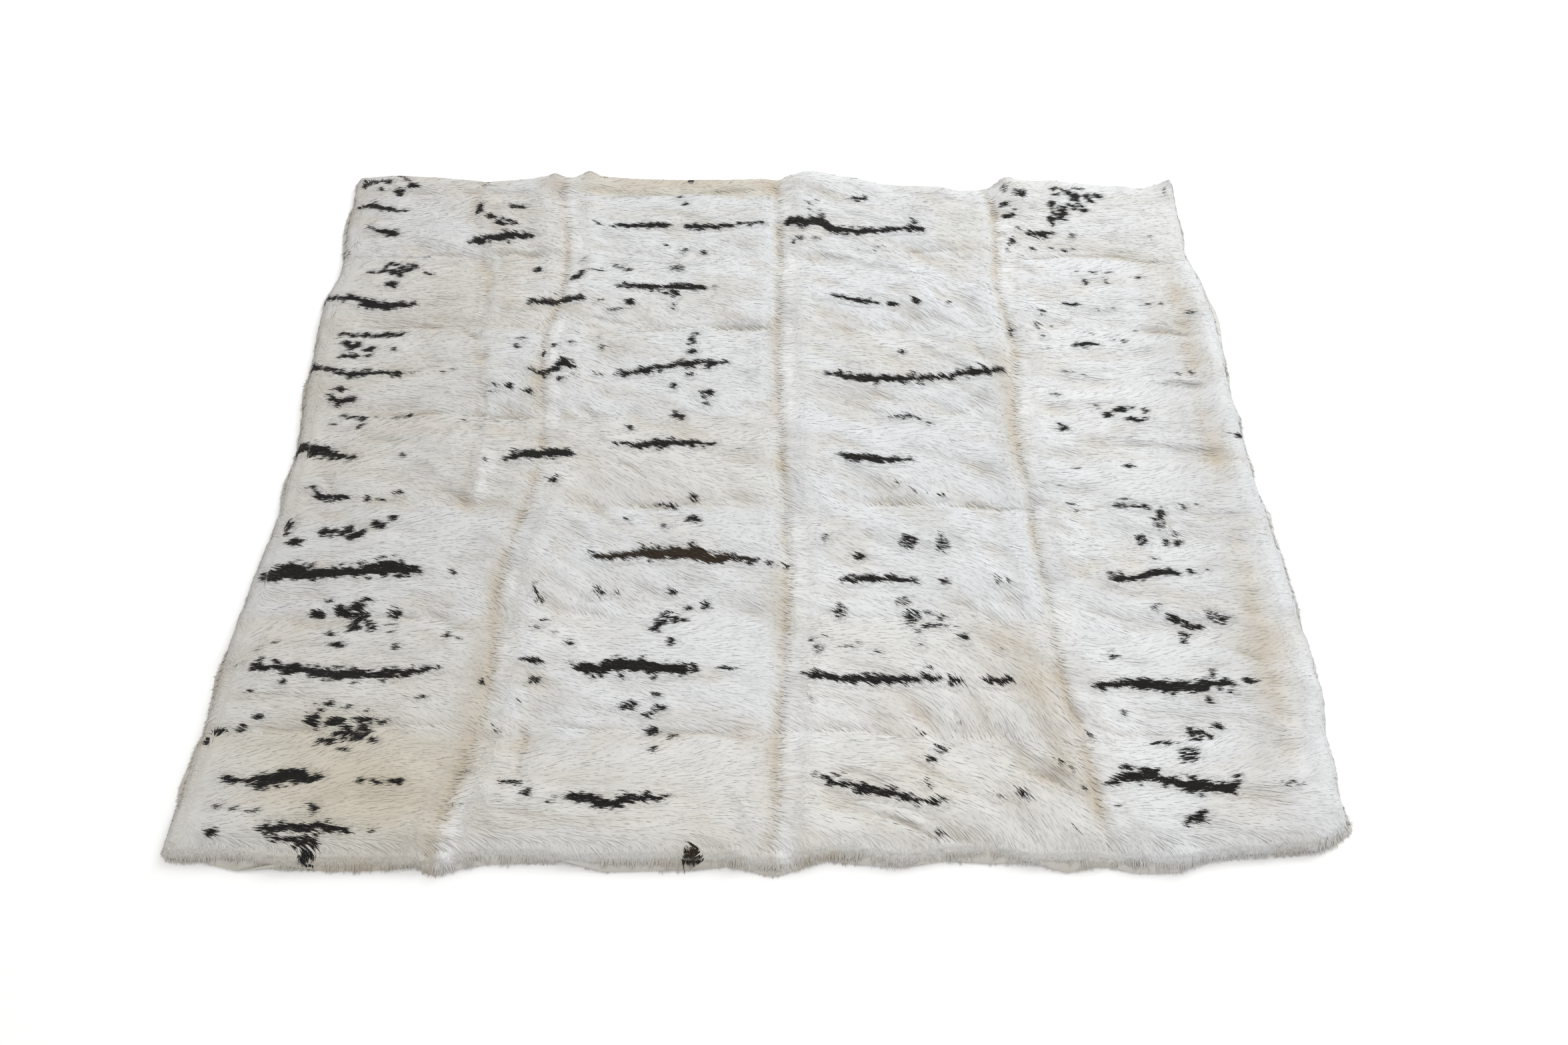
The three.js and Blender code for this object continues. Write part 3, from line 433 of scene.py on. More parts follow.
# Black spots: x, y, width along x and width along y
SPOTS = (
    (-552, 519, 13, 9), (-572, 498, 20, 20), (-548, 496, 21, 21), (-552, 481, 12, 11), (-523, 477, 19, 21),
    (-508, 485, 17, 17), (-510, 435, 8, 6), (-536, 352, 4, 4), (-577, 346, 5, 10), (-464, 337, 12, 3),
    (-499, 310, 50, 28), (-531, 306, 15, 14), (-503, 280, 20, 12), (-457, 300, 12, 8), (-403, 436, 12, 25),
    (-385, 420, 18, 12), (-363, 411, 30, 18), (-350, 443, 25, 8), (-307, 309, 15, 10), (-252, 297, 20, 16),
    (-278, 265, 4, 4), (-538, 165, 26, 17), (-535, 148, 26, 15), (-510, 159, 19, 9), (-512, 147, 12, 10),
    (-479, 157, 12, 8), (-447, 117, 8, 4), (-410, 117, 8, 4), (-397, 122, 7, 4), (-316, 176, 14, 3),
    (-319, 163, 10, 8), (-270, 165, 10, 8), (-248, 169, 14, 5), (-282, 150, 9, 14), (-238, 111, 8, 6),
    (-337, 92, 10, 8), (-320, 93, 12, 14), (-338, 81, 8, 5), (-295, 84, 16, 10), (-255, 102, 12, 6),
    (-535, 87, 22, 8), (-479, 43, 10, 5), (-497, 31, 14, 16), (-500, 21, 10, 6), (-533, 30, 12, 6),
    (-456, 40, 12, 8), (-442, 44, 16, 9), (-370, 36, 6, 3), (-504, -34, 8, 5), (-436, -23, 10, 9),
    (-334, -29, 8, 8), (-244, -65, 14, 14), (-467, -91, 12, 9), (-451, -92, 12, 6), (-430, -83, 12, 8),
    (-553, -130, 12, 22), (-540, -154, 22, 10), (-501, -143, 28, 18), (-474, -141, 26, 22),
    (-447, -130, 24, 12), (-431, -119, 16, 9), (-348, -197, 14, 8), (-484, -237, 12, 6),
    (-443, -237, 16, 8), (-461, -247, 30, 22), (-493, -256, 22, 12), (-448, -256, 26, 14),
    (-439, -271, 34, 16), (-405, -254, 18, 12), (-407, -268, 14, 4), (-409, -279, 10, 6),
    (-474, -281, 16, 8), (-465, -294, 22, 8), (-399, -298, 12, 9), (-344, -284, 8, 10), (-330, -286, 6, 3),
    (-533, -293, 11, 5), (-548, -303, 7, 5), (-544, -316, 4, 10), (-567, -321, 8, 5), (-512, -345, 10, 9),
    (-403, -339, 6, 10), (-544, -356, 12, 6), (-527, -384, 14, 7), (-544, -400, 14, 10),
    (-567, -401, 20, 9), (-578, -412, 12, 10), (-470, -370, 10, 6), (-454, -371, 12, 12),
    (-435, -373, 12, 6), (-416, -378, 8, 4), (-465, -388, 26, 22), (-446, -390, 26, 10),
    (-416, -388, 26, 10), (-396, -390, 14, 5), (-427, -403, 40, 20), (-450, -414, 28, 8),
    (-403, -414, 14, 8), (-431, -424, 12, 7), (-360, -361, 12, 6), (-377, -361, 4, 3), (-406, -462, 10, 8),
    (-389, -462, 12, 9), (-369, -462, 22, 7), (-548, -489, 12, 7), (-529, -491, 8, 4), (-508, -494, 10, 6),
    (-442, -493, 14, 14), (-469, -523, 30, 8), (-448, -529, 22, 28), (-448, -544, 14, 10),
    (-386, -513, 10, 5), (-546, -517, 14, 12), (-296, -341, 8, 9), (-295, -450, 6, 6), (-299, -489, 8, 4),
    (-102, 504, 14, 16), (-65, 476, 10, 5), (-122, 463, 14, 6), (-111, 448, 12, 8), (-136, 361, 10, 8),
    (-107, 354, 12, 6), (-114, 346, 12, 5), (-81, 349, 12, 10), (-117, 334, 5, 5), (-245, 329, 5, 8),
    (-119, 263, 26, 18), (-65, 277, 8, 6), (-177, 248, 18, 12), (-195, 234, 20, 7), (-117, 238, 6, 10),
    (-215, 252, 8, 6), (-210, 163, 8, 8), (-88, 187, 16, 6), (-92, 172, 14, 16), (-90, 154, 18, 10),
    (-66, 127, 12, 12), (-208, 113, 12, 4), (-90, 112, 12, 6), (-111, 93, 12, 16), (-72, 78, 22, 16),
    (-68, 63, 12, 6), (-104, 43, 16, 18), (-160, 22, 10, 10), (-27, -10, 8, 3), (-98, -104, 7, 6),
    (-75, -119, 16, 18), (-154, -124, 8, 6), (-112, -130, 9, 12), (13, -186, 10, 7), (36, -191, 10, 5),
    (-95, -222, 12, 8), (-79, -245, 12, 9), (-59, -241, 12, 12), (-102, -261, 26, 16),
    (-112, -269, 18, 14), (-85, -262, 14, 6), (-95, -291, 14, 10), (-206, -293, 14, 8), (-237, -262, 8, 5),
    (-245, -272, 10, 4), (-227, -278, 6, 3), (-245, -316, 26, 9), (-239, -339, 14, 11), (-254, -365, 6, 4),
    (-250, -463, 24, 6), (-213, -483, 8, 3), (-68, -329, 12, 14), (-30, -328, 22, 7), (-107, -358, 12, 8),
    (-137, -370, 20, 14), (-105, -376, 16, 14), (-117, -383, 16, 6), (-109, -403, 18, 12),
    (-87, -408, 16, 5), (-107, -423, 12, 9), (-205, -479, 8, 5), (75, 450, 6, 6), (65, 444, 7, 5),
    (66, 431, 6, 6), (80, 431, 7, 6), (139, 461, 24, 14), (164, 358, 7, 5), (134, 351, 8, 3),
    (150, 351, 7, 4), (213, 406, 10, 14), (174, 242, 16, 12), (207, 244, 17, 11), (251, 245, 9, 7),
    (183, 153, 8, 9), (205, 98, 8, 5), (179, 39, 10, 4), (211, 31, 14, 7), (164, -64, 9, 6),
    (185, -76, 8, 5), (200, -81, 5, 3), (220, -87, 9, 4), (116, -175, 15, 10), (211, -211, 12, 11),
    (272, -210, 8, 9), (284, -210, 8, 8), (230, -284, 12, 14), (58, -290, 8, 5), (78, -285, 6, 4),
    (110, -294, 6, 4), (133, -303, 8, 6), (180, -297, 8, 6), (269, -299, 6, 9), (189, -326, 9, 6),
    (215, -341, 18, 10), (262, -340, 38, 11), (294, -339, 5, 4), (60, -363, 6, 5), (217, -391, 8, 5),
    (173, -404, 7, 3), (195, -422, 12, 9), (184, -434, 12, 7), (63, -455, 8, 9), (85, -454, 10, 5),
    (250, -477, 10, 4), (272, -475, 14, 7), (318, -442, 8, 6), (325, -446, 7, 6), (186, -519, 11, 7),
    (321, -511, 6, 3), (338, -469, 10, 7), (343, 442, 20, 14), (348, 423, 22, 10), (358, 432, 10, 8),
    (422, 475, 18, 20), (439, 476, 9, 9), (455, 483, 16, 8), (444, 462, 22, 22), (463, 459, 40, 20),
    (481, 463, 16, 10), (412, 447, 14, 16), (420, 434, 18, 20), (444, 442, 18, 14), (456, 433, 16, 10),
    (424, 421, 16, 16), (410, 411, 16, 18), (432, 381, 12, 11), (360, 393, 14, 3), (350, 370, 12, 16),
    (342, 355, 5, 18), (340, 387, 7, 5), (375, 354, 12, 7), (400, 356, 12, 5), (418, 349, 14, 10),
    (429, 354, 8, 5), (543, 374, 6, 9), (429, 307, 5, 4), (453, 304, 12, 5), (474, 303, 9, 3),
    (439, 286, 10, 12), (466, 287, 5, 11), (514, 295, 11, 9), (471, 237, 9, 5), (452, 234, 6, 4),
    (516, 241, 14, 4), (535, 244, 7, 4), (371, 227, 12, 3), (372, 221, 6, 4), (363, 201, 6, 14),
    (385, 202, 7, 4), (370, 179, 5, 8), (373, 159, 6, 5), (431, 194, 9, 3), (434, 187, 6, 4),
    (493, 194, 9, 5), (468, 186, 6, 4), (460, 175, 9, 3), (474, 171, 10, 10), (394, 118, 11, 4),
    (414, 113, 7, 3), (535, 116, 9, 5), (556, 120, 9, 8), (373, 76, 11, 10), (423, 58, 8, 5),
    (452, 52, 22, 12), (435, 44, 20, 10), (467, 56, 9, 4), (482, 49, 8, 9), (469, 35, 34, 8),
    (371, 29, 9, 5), (378, 21, 15, 10), (593, 14, 15, 7), (387, -42, 9, 4), (449, -39, 12, 8),
    (362, -72, 5, 4), (369, -99, 12, 7), (377, -107, 9, 5), (435, -93, 11, 4), (477, -102, 7, 4),
    (503, -102, 9, 8), (520, -97, 9, 3), (474, -113, 12, 14), (448, -151, 16, 13), (475, -155, 9, 13),
    (488, -154, 12, 11), (456, -178, 9, 6), (495, -198, 11, 10), (514, -195, 10, 3), (450, -243, 15, 13),
    (463, -259, 14, 10), (472, -282, 14, 17), (386, -304, 6, 4), (390, -311, 10, 7), (494, -332, 8, 11),
    (535, -341, 18, 8), (511, -356, 8, 4), (485, -365, 11, 9), (391, -382, 10, 9), (488, -395, 14, 9),
    (469, -405, 30, 14), (427, -416, 28, 5), (551, -463, 20, 4), (370, -491, 8, 6), (446, -503, 26, 8),
    (353, -410, 4, 7),
)

# Places where dark hairs are mixed with white ones: x, y, width along x, width along y and share of dark hair
MIXED_SPOTS = (
    (-230, 512, 8, 10, 0.5), (-200, 319, 22, 14, 0.6), (-186, 313, 18, 10, 0.6), (-222, 309, 10, 6, 0.5),
    (-117, 314, 28, 18, 0.65), (-215, 181, 10, 14, 0.5), (-77, -88, 18, 16, 0.65),
    (-179, -224, 26, 13, 0.55), (-160, -223, 10, 8, 0.55), (-273, -403, 8, 12, 0.5),
    (-235, -474, 14, 14, 0.6), (51, 372, 22, 14, 0.55), (43, 366, 10, 8, 0.6), (72, 376, 12, 8, 0.5),
    (78, -151, 12, 18, 0.5), (173, -153, 28, 24, 0.65), (213, -156, 16, 28, 0.6), (92, -252, 20, 24, 0.55),
    (164, -237, 18, 14, 0.6), (173, -260, 22, 26, 0.62), (192, -252, 22, 7, 0.6), (205, -258, 14, 8, 0.6),
    (196, -270, 40, 8, 0.6), (179, -280, 12, 10, 0.55), (68, -303, 12, 16, 0.5), (100, -299, 16, 6, 0.5),
    (176, -462, 11, 12, 0.55), (369, 464, 22, 22, 0.7), (545, 485, 18, 10, 0.5), (578, 477, 10, 20, 0.55),
    (575, 226, 20, 10, 0.5), (471, -128, 18, 22, 0.55), (486, -141, 14, 10, 0.55),
    (508, -256, 16, 16, 0.55), (518, -260, 30, 14, 0.55), (452, -429, 26, 22, 0.65),
)

# Brown-black spots: x, y, width along x and width along y
BROWN_SPOTS = ((330, 195, 6, 22), (-62, -541, 22, 20), (75, 411, 4, 4))

# Pigment is drawn on its own grid, with soft edges. Sizes are in millimetres
PIGMENT_STEP = 1 * MM
PIGMENT_EDGE = 2.2
PIGMENT_SHRINK = 2.5
LEAST_SPOT = 2.5
SPOT_MARGIN = 6
STRIPE_MARGIN = 20
STRIPE_CORE = 0.72
TUFT_PITCH = 4.5
TUFT_SIZE = (5, 10)
TUFT_ASIDE = (0.6, 1.3)
TUFT_ROUNDNESS = 0.7
DAPPLE_FROM = 13
DAPPLE_AREA = 44
DAPPLE_SIZE = (8, 13)
DAPPLE_ROUNDNESS = 0.75
NEAR_DARK_SPREAD = 3.0
BROWN_SPREAD = 5.0

# Where along a hair its colour is read, how far that place wanders along x and along y, and the chances that
# part dark hairs from light ones. In the last two pairs a hair's chance, times the second, adds to the first
HAIR_MIDDLE = 0.42
HAIR_CHANCE = (0.12, 0.78)
HAIR_WANDER = ({"size": 6 * MM, "swing": 3 * MM, "seed": 11}, {"size": 6 * MM, "swing": 3 * MM, "seed": 12})
BROWN_GAIN = 1.3
BROWN_RANGE = (0.6, 0.8)
DARK_RANGE = (0.7, 0.9)


def in_plan(x, y):
    """A place of the tables, in metres in the blanket's own frame."""
    return (x + PLAN_SHIFT[0]) * MM, (y + PLAN_SHIFT[1]) * MM


def smooth_step(values, low, high):
    """0 up to low, 1 from high on, and a smooth rise between."""
    share = np.clip((values - low) / (high - low), 0, 1)
    return share * share * (3 - 2 * share)


class Field:
    """Values on an even grid over the plan, read between its points."""

    def __init__(self, values, corner, step):
        self.values = values
        self.corner = corner
        self.step = step

    def at(self, x, y):
        u = np.clip((x - self.corner[0]) / self.step, 0, self.values.shape[0] - LAST_CELL)
        v = np.clip((y - self.corner[1]) / self.step, 0, self.values.shape[1] - LAST_CELL)
        i = u.astype(int)
        j = v.astype(int)
        near = self.values[i, j] * (1 - u + i) + self.values[i + 1, j] * (u - i)
        far = self.values[i, j + 1] * (1 - u + i) + self.values[i + 1, j + 1] * (u - i)
        return near * (1 - v + j) + far * (v - j)

    def slope(self, x, y):
        """The rise per metre along x and along y."""
        d = self.step
        along_x = (self.at(x + d, y) - self.at(x - d, y)) / (2 * d)
        along_y = (self.at(x, y + d) - self.at(x, y - d)) / (2 * d)
        return along_x, along_y


def noise(x, y, kind):
    """Smooth noise from -1 to 1, with lumps of about the kind's size."""
    lattice = np.random.default_rng(kind["seed"]).uniform(-1, 1, (NOISE_CELLS, NOISE_CELLS))
    u = x / kind["size"] + NOISE_SHIFT
    v = y / kind["size"] + NOISE_SHIFT
    i = np.floor(u).astype(int)
    j = np.floor(v).astype(int)
    s = smooth_step(u - i, 0, 1)
    t = smooth_step(v - j, 0, 1)
    i, j, i_next, j_next = (index % NOISE_CELLS for index in (i, j, i + 1, j + 1))
    near = lattice[i, j] * (1 - s) + lattice[i_next, j] * s
    far = lattice[i, j_next] * (1 - s) + lattice[i_next, j_next] * s
    return near * (1 - t) + far * t


def swayed(x, y, kind):
    """Smooth noise from minus the kind's swing to its swing."""
    return kind["swing"] * noise(x, y, kind)


def blurred(values, spread):
    """Grid values smoothed by a bell curve of the given spread, in grid steps."""
    reach = int(BELL_REACH * spread) + 1
    bell = np.exp(-0.5 * (np.arange(-reach, reach + 1) / spread) ** 2)
    bell /= bell.sum()
    padded = np.pad(values, reach)
    once = np.apply_along_axis(np.convolve, 0, padded, bell, "same")
    twice = np.apply_along_axis(np.convolve, 1, once, bell, "same")
    return twice[reach:-reach, reach:-reach]


def grid_axes(step):
    """The places along x and along y of an even grid over the blanket and a margin round it."""
    low, high = cad_box
    xs = np.arange(low.x - GRID_MARGIN, high.x + GRID_MARGIN, step)
    ys = np.arange(low.y - GRID_MARGIN, high.y + GRID_MARGIN, step)
    return xs, ys


def read_pile():
    """Height of the solids' dense pile over an even grid, and 1 where there is any."""
    solids = bmesh.new()
    for node in frame["nodes"].values():
        solids.from_mesh(node.data)
    tree = BVHTree.FromBMesh(solids)
    solids.free()
    xs, ys = grid_axes(GRID_STEP)
    heights = np.zeros((len(xs), len(ys)))
    down = Vector((0, 0, -1))
    for i, x in enumerate(xs):
        for j, y in enumerate(ys):
            place = tree.ray_cast(Vector((x, y, READ_FROM)), down)[0]
            if place is not None and place.z > LOCK_LEVEL:
                heights[i, j] = place.z
    return heights, (heights > 0).astype(float), (xs[0], ys[0])


def lie_at(x, y):
    """The turn from +x, in radians, of the hair's lie over the whole blanket."""
    step_x = np.zeros_like(x)
    step_y = np.zeros_like(x)
    for row in FLOW:
        place = in_plan(row[0], row[1])
        weight = np.exp(-((x - place[0]) ** 2 + (y - place[1]) ** 2) / (2 * FLOW_SPREAD**2)) + TINY
        step_x += weight * math.cos(math.radians(row[2]))
        step_y += weight * math.sin(math.radians(row[2]))
    return np.arctan2(step_y, step_x)


def combed(x, y, turn, kind):
    """Noise with lumps of the kind's size, drawn out to its length along the lie of the hair."""
    total = np.zeros_like(x)
    length = kind["length"]
    for share in np.linspace(-0.5, 0.5, COMB_STEPS):
        total += noise(x + share * length * np.cos(turn), y + share * length * np.sin(turn), kind)
    return total / math.sqrt(COMB_STEPS)


def seam_hump(xs, ys, edges, spread):
    """A smooth hump along the given edges, 1 at its highest, with its spread in grid steps."""
    line = np.zeros((len(xs), len(ys)))
    for start, end, _ in edges:
        for share in np.linspace(0, 1, SEAM_STEPS):
            x, y = start + (end - start) * share
            line[round((x - xs[0]) / RELIEF_STEP), round((y - ys[0]) / RELIEF_STEP)] = 1
    hump = blurred(line, spread)
    return hump / hump.max()


def crease_relief(x, y):
    """Rise and fall of the small creases."""
    total = np.zeros_like(x)
    for x1, y1, x2, y2, rise, spread in CREASES:
        ax, ay = in_plan(x1, y1)
        bx, by = in_plan(x2, y2)
        share = ((x - ax) * (bx - ax) + (y - ay) * (by - ay)) / ((bx - ax) ** 2 + (by - ay) ** 2)
        held = np.clip(share, 0, 1)
        apart = np.hypot(x - ax - held * (bx - ax), y - ay - held * (by - ay)) / (spread * MM)
        fade = smooth_step(CREASE_FULL - np.abs(held - 0.5), 0, CREASE_FADE)
        total += rise * MM * np.exp(-(apart**2)) * fade
    return total


def rim_humps(x, y):
    """Rise of the tufts that stand up along the rim."""
    total = np.zeros_like(x)
    for at_x, at_y, rise, spread in RIM_HUMPS:
        middle_x, middle_y = in_plan(at_x, at_y)
        total += rise * MM * np.exp(-((x - middle_x) ** 2 + (y - middle_y) ** 2) / (spread * MM) ** 2)
    return total


def fine_relief(xs, ys):
    """What the fur's streaks, tufts, creases and seams add to the smooth pile."""
    x, y = np.meshgrid(xs, ys, indexing="ij")
    wander = swayed(x, y, CREASE_WANDER)
    turn = lie_at(x, y)
    relief = CREASE_GAIN * crease_relief(x + wander, y + wander)
    for kind in (STREAKS, TUFTS):
        relief += kind["rise"] * combed(x, y, turn, kind)
    uneven = SEAM_MIDDLE + swayed(x, y, SEAM_SWELL)
    lift = -np.gradient(seam_hump(xs, ys, UPRIGHT_SEAMS, SEAM_LIFT_SPREAD))[0]
    relief += SEAM_LIFT * uneven * lift / lift.max()
    relief += SEAM_FILL * seam_hump(xs, ys, UPRIGHT_SEAMS, SEAM_FILL_SPREAD)
    relief += ROW_FILL * seam_hump(xs, ys, ROW_SEAMS, ROW_FILL_SPREAD)
    return relief - ROW_FURROW * uneven * seam_hump(xs, ys, ROW_SEAMS, ROW_FURROW_SPREAD)


def seam_bands(xs, ys, bands, seed):
    """Strength of bands along the upright seams, fading and swelling as they run."""
    x, y = np.meshgrid(xs, ys, indexing="ij")
    total = np.zeros_like(x)
    for aside, spread, strength in bands:
        total += strength * np.roll(seam_hump(xs, ys, UPRIGHT_SEAMS, spread), aside, axis=0)
    return total * np.clip(BAND_MIDDLE + swayed(x, y, {**BAND_SWELL, "seed": seed}), *BAND_LIMITS)


def top_patch(node):
    """The top of a pelt's solid alone, without its walls, underside and rim locks."""
    patch = bmesh.new()
    patch.from_mesh(node.data)
    bmesh.ops.remove_doubles(patch, verts=patch.verts, dist=SAME_POINT)
    low = [vert for vert in patch.verts if vert.co.z < LOCK_LEVEL]
    bmesh.ops.delete(patch, geom=low, context="VERTS")
    bmesh.ops.join_triangles(patch, faces=patch.faces, angle_face_threshold=PAIR_FACE_ANGLE,
                             angle_shape_threshold=PAIR_SHAPE_ANGLE)
    return patch


def rim_loop(patch):
    """The patch's outer edge as an array of plan points in order, anticlockwise, and the area inside it."""
    edge = next(edge for edge in patch.edges if edge.is_boundary)
    start = edge.verts[0]
    points = [start.co.xy.copy()]
    vert = edge.other_vert(start)
    while vert is not start:
        points.append(vert.co.xy.copy())
        edge = next(other for other in vert.link_edges if other.is_boundary and other is not edge)
        vert = edge.other_vert(vert)
    loop = np.array(points)
    ahead = np.roll(loop, -1, axis=0)
    area = np.sum(loop[:, 0] * ahead[:, 1] - ahead[:, 0] * loop[:, 1]) / 2
    return (loop if area > 0 else loop[::-1]), abs(area)


def plan_edges(outline):
    """Each edge of an outline with its outward direction."""
    for start, end in zip(outline, np.roll(outline, -1, axis=0)):
        run = end - start
        length = np.linalg.norm(run)
        if length > LEAST_LENGTH:
            yield start, end, np.array([run[1], -run[0]]) / length


def sort_edges(outlines):
    """Parts each pelt's edges into free ones, on the rim, and sewn ones, beside another pelt."""
    rows = [(name, edge) for name, outline in outlines.items() for edge in plan_edges(outline)]
    tree = KDTree(len(rows))
    for n, (_, (start, end, _)) in enumerate(rows):
        tree.insert((*((start + end) / 2), 0), n)
    tree.balance()
    free = {name: [] for name in outlines}
    sewn = []
    for name, (start, end, outward) in rows:
        near = tree.find_range((*((start + end) / 2), 0), SEWN_WITHIN)
        others = [rows[n][0] for _, n, _ in near if rows[n][0] != name]
        if not others:
            free[name].append((start, end, outward))
        elif name < others[0]:
            sewn.append((start, end, outward))
    return free, sewn


PATCHES = {name: top_patch(node) for name, node in sorted(frame["nodes"].items())}
OUTLINES = {name: rim_loop(patch) for name, patch in PATCHES.items()}
FREE_EDGES, SEWN_EDGES = sort_edges({name: outline for name, (outline, _) in OUTLINES.items()})
UPRIGHT_SEAMS = [edge for edge in SEWN_EDGES if abs(edge[2][0]) > abs(edge[2][1])]
ROW_SEAMS = [edge for edge in SEWN_EDGES if abs(edge[2][0]) <= abs(edge[2][1])]


def tints_and_painted_light(xs, ys, depth):
    """How warm the hair is, in the hollows, in its mottling and along the upright seams, with painted shade in
    the hollows and along the seams, and the painted highlight just right of those seams.
    """
    x, y = np.meshgrid(xs, ys, indexing="ij")
    mottled = MOTTLE["share"] * np.clip(combed(x, y, lie_at(x, y), MOTTLE), 0, 1)
    # Painted shade in the hollows and along the seams, with warmer hair there and the hair's mottling
    warm = HOLLOW_SHADE_TINT * depth + seam_bands(xs, ys, SEAM_WARMTH_AND_SHADE, WARM_SEED) + mottled
    # The painted highlight just right of the upright seams
    pale = np.clip(seam_bands(xs, ys, [HIGHLIGHT_BAND], HIGHLIGHT_SEED), 0, 1)
    pale *= smooth_step(x, in_plan(HIGHLIGHT_FROM[0], 0)[0], in_plan(HIGHLIGHT_FROM[1], 0)[0])
    return np.clip(warm, 0, 1), pale


def draw_pile():
    """How far inside the rim a place is, the pile's height and hollows, the warm tone and painted shade of its
    hair, and its painted highlight.
    """
    heights, covered, corner = read_pile()
    smooth = blurred(heights, PILE_SMOOTHING) / np.maximum(blurred(covered, PILE_SMOOTHING), LEAST_COVER)
    inside = smooth_step(blurred(covered, EDGE_SMOOTHING), *EDGE_FADE)
    xs, ys = grid_axes(RELIEF_STEP)
    x, y = np.meshgrid(xs, ys, indexing="ij")
    rim = Field(blurred(covered, RIM_SMOOTHING), corner, GRID_STEP)
    relief = fine_relief(xs, ys) * smooth_step(rim.at(x, y), *RELIEF_FADE) + rim_humps(x, y)
    coarse = Field(smooth, corner, GRID_STEP)
    pile = (coarse.at(x, y) + relief) * Field(inside, corner, GRID_STEP).at(x, y)
    depth = np.clip((blurred(pile, HOLLOW_SPREAD) - pile) / HOLLOW_DEPTH, 0, 1)
    fine = [Field(values, corner, RELIEF_STEP) for values in (pile, depth, *tints_and_painted_light(xs, ys, depth))]
    return rim, *fine


RIM, PILE, HOLLOW, WARMTH_AND_SHADE, PAINTED_HIGHLIGHT = draw_pile()


def draw_blot(canvas, xs, ys, distance_in, reach, centre, share):
    """Draws a mark on the canvas. distance_in gives how far inside its edge a place lies, in millimetres."""
    x, y = centre
    i = slice(*np.searchsorted(xs, (x - reach, x + reach)))
    j = slice(*np.searchsorted(ys, (y - reach, y + reach)))
    grid_x, grid_y = np.meshgrid(xs[i], ys[j], indexing="ij")
    inside = smooth_step(distance_in(grid_x, grid_y), -PIGMENT_EDGE, PIGMENT_EDGE) * share
    canvas[i, j] = np.maximum(canvas[i, j], inside)


def draw_spot(canvas, xs, ys, spot, share):
    """Draws a round or oval spot, given by its middle and its widths."""
    centre = in_plan(spot[0], spot[1])
    half_x = max(spot[2] - PIGMENT_SHRINK, LEAST_SPOT) / 2
    half_y = max(spot[3] - PIGMENT_SHRINK / 2, LEAST_SPOT) / 2

    def distance_in(x, y):
        across = np.hypot((x - centre[0]) / MM / half_x, (y - centre[1]) / MM / half_y)
        return (1 - across) * min(half_x, half_y)

    draw_blot(canvas, xs, ys, distance_in, (max(half_x, half_y) + SPOT_MARGIN) * MM, centre, share)


def draw_stripe(canvas, xs, ys, points):
    """Draws a stripe along its points, each given by its place and half width."""
    for start, end in zip(points, points[1:]):
        a = in_plan(start[0], start[1])
        b = in_plan(end[0], end[1])
        run = (b[0] - a[0], b[1] - a[1])
        length = math.hypot(*run)

        def distance_in(x, y):
            share = np.clip(((x - a[0]) * run[0] + (y - a[1]) * run[1]) / length**2, 0, 1)
            apart = np.hypot(x - a[0] - share * run[0], y - a[1] - share * run[1]) / MM
            return (start[2] + share * (end[2] - start[2])) * STRIPE_CORE - apart

        centre = ((a[0] + b[0]) / 2, (a[1] + b[1]) / 2)
        draw_blot(canvas, xs, ys, distance_in, length / 2 + STRIPE_MARGIN * MM, centre, 1)


def dappled(spot):
    """A large spot as many small ones inside its outline, as its hairs grow in tufts. A small one is left."""
    if min(spot[2], spot[3]) < DAPPLE_FROM:
        return [spot]
    count = round(spot[2] * spot[3] / DAPPLE_AREA)
    turns = RANDOM.uniform(0, 2 * math.pi, count)
    reach = np.sqrt(RANDOM.uniform(0, 1, count)) / 2
    wide = RANDOM.uniform(*DAPPLE_SIZE, count)
    x = spot[0] + spot[2] * reach * np.cos(turns)
    y = spot[1] + spot[3] * reach * np.sin(turns)
    return list(zip(x, y, wide, DAPPLE_ROUNDNESS * wide))


def tufts_along(points):
    """Small spots along both edges of a stripe, where its hairs stand out in tufts."""
    for start, end in zip(points, points[1:]):
        length = math.hypot(end[0] - start[0], end[1] - start[1])
        for n in range(round(length / TUFT_PITCH)):
            share = (n + RANDOM.uniform(0, 1)) * TUFT_PITCH / length
            half = start[2] + share * (end[2] - start[2])
            side = RANDOM.choice((-1, 1)) * half * RANDOM.uniform(*TUFT_ASIDE)
            wide = RANDOM.uniform(*TUFT_SIZE)
            x = start[0] + share * (end[0] - start[0])
            y = start[1] + share * (end[1] - start[1]) + side
            yield x, y, wide, TUFT_ROUNDNESS * wide


def draw_pigment():
    """Share of dark hair over the plan, how brown the dark hair is, and whether dark hair is near."""
    xs, ys = grid_axes(PIGMENT_STEP)
    dark = np.zeros((len(xs), len(ys)))
    brown = np.zeros((len(xs), len(ys)))
    for colour, *points in STRIPES:
        draw_stripe(dark, xs, ys, points)
        for tuft in tufts_along(points):
            draw_spot(dark, xs, ys, tuft, 1)
        if colour == BROWN_BLACK:
            draw_stripe(brown, xs, ys, points)
    for spot in SPOTS:
        for part in dappled(spot):
            draw_spot(dark, xs, ys, part, 1)
    for spot in MIXED_SPOTS:
        draw_spot(dark, xs, ys, spot, spot[4])
    for spot in BROWN_SPOTS:
        draw_spot(dark, xs, ys, spot, 1)
        draw_spot(brown, xs, ys, spot, 1)
    canvases = (dark, blurred(brown, BROWN_SPREAD), blurred(dark, NEAR_DARK_SPREAD))
    return [Field(values, (xs[0], ys[0]), PIGMENT_STEP) for values in canvases]


DARK, BROWN, NEAR_DARK = draw_pigment()


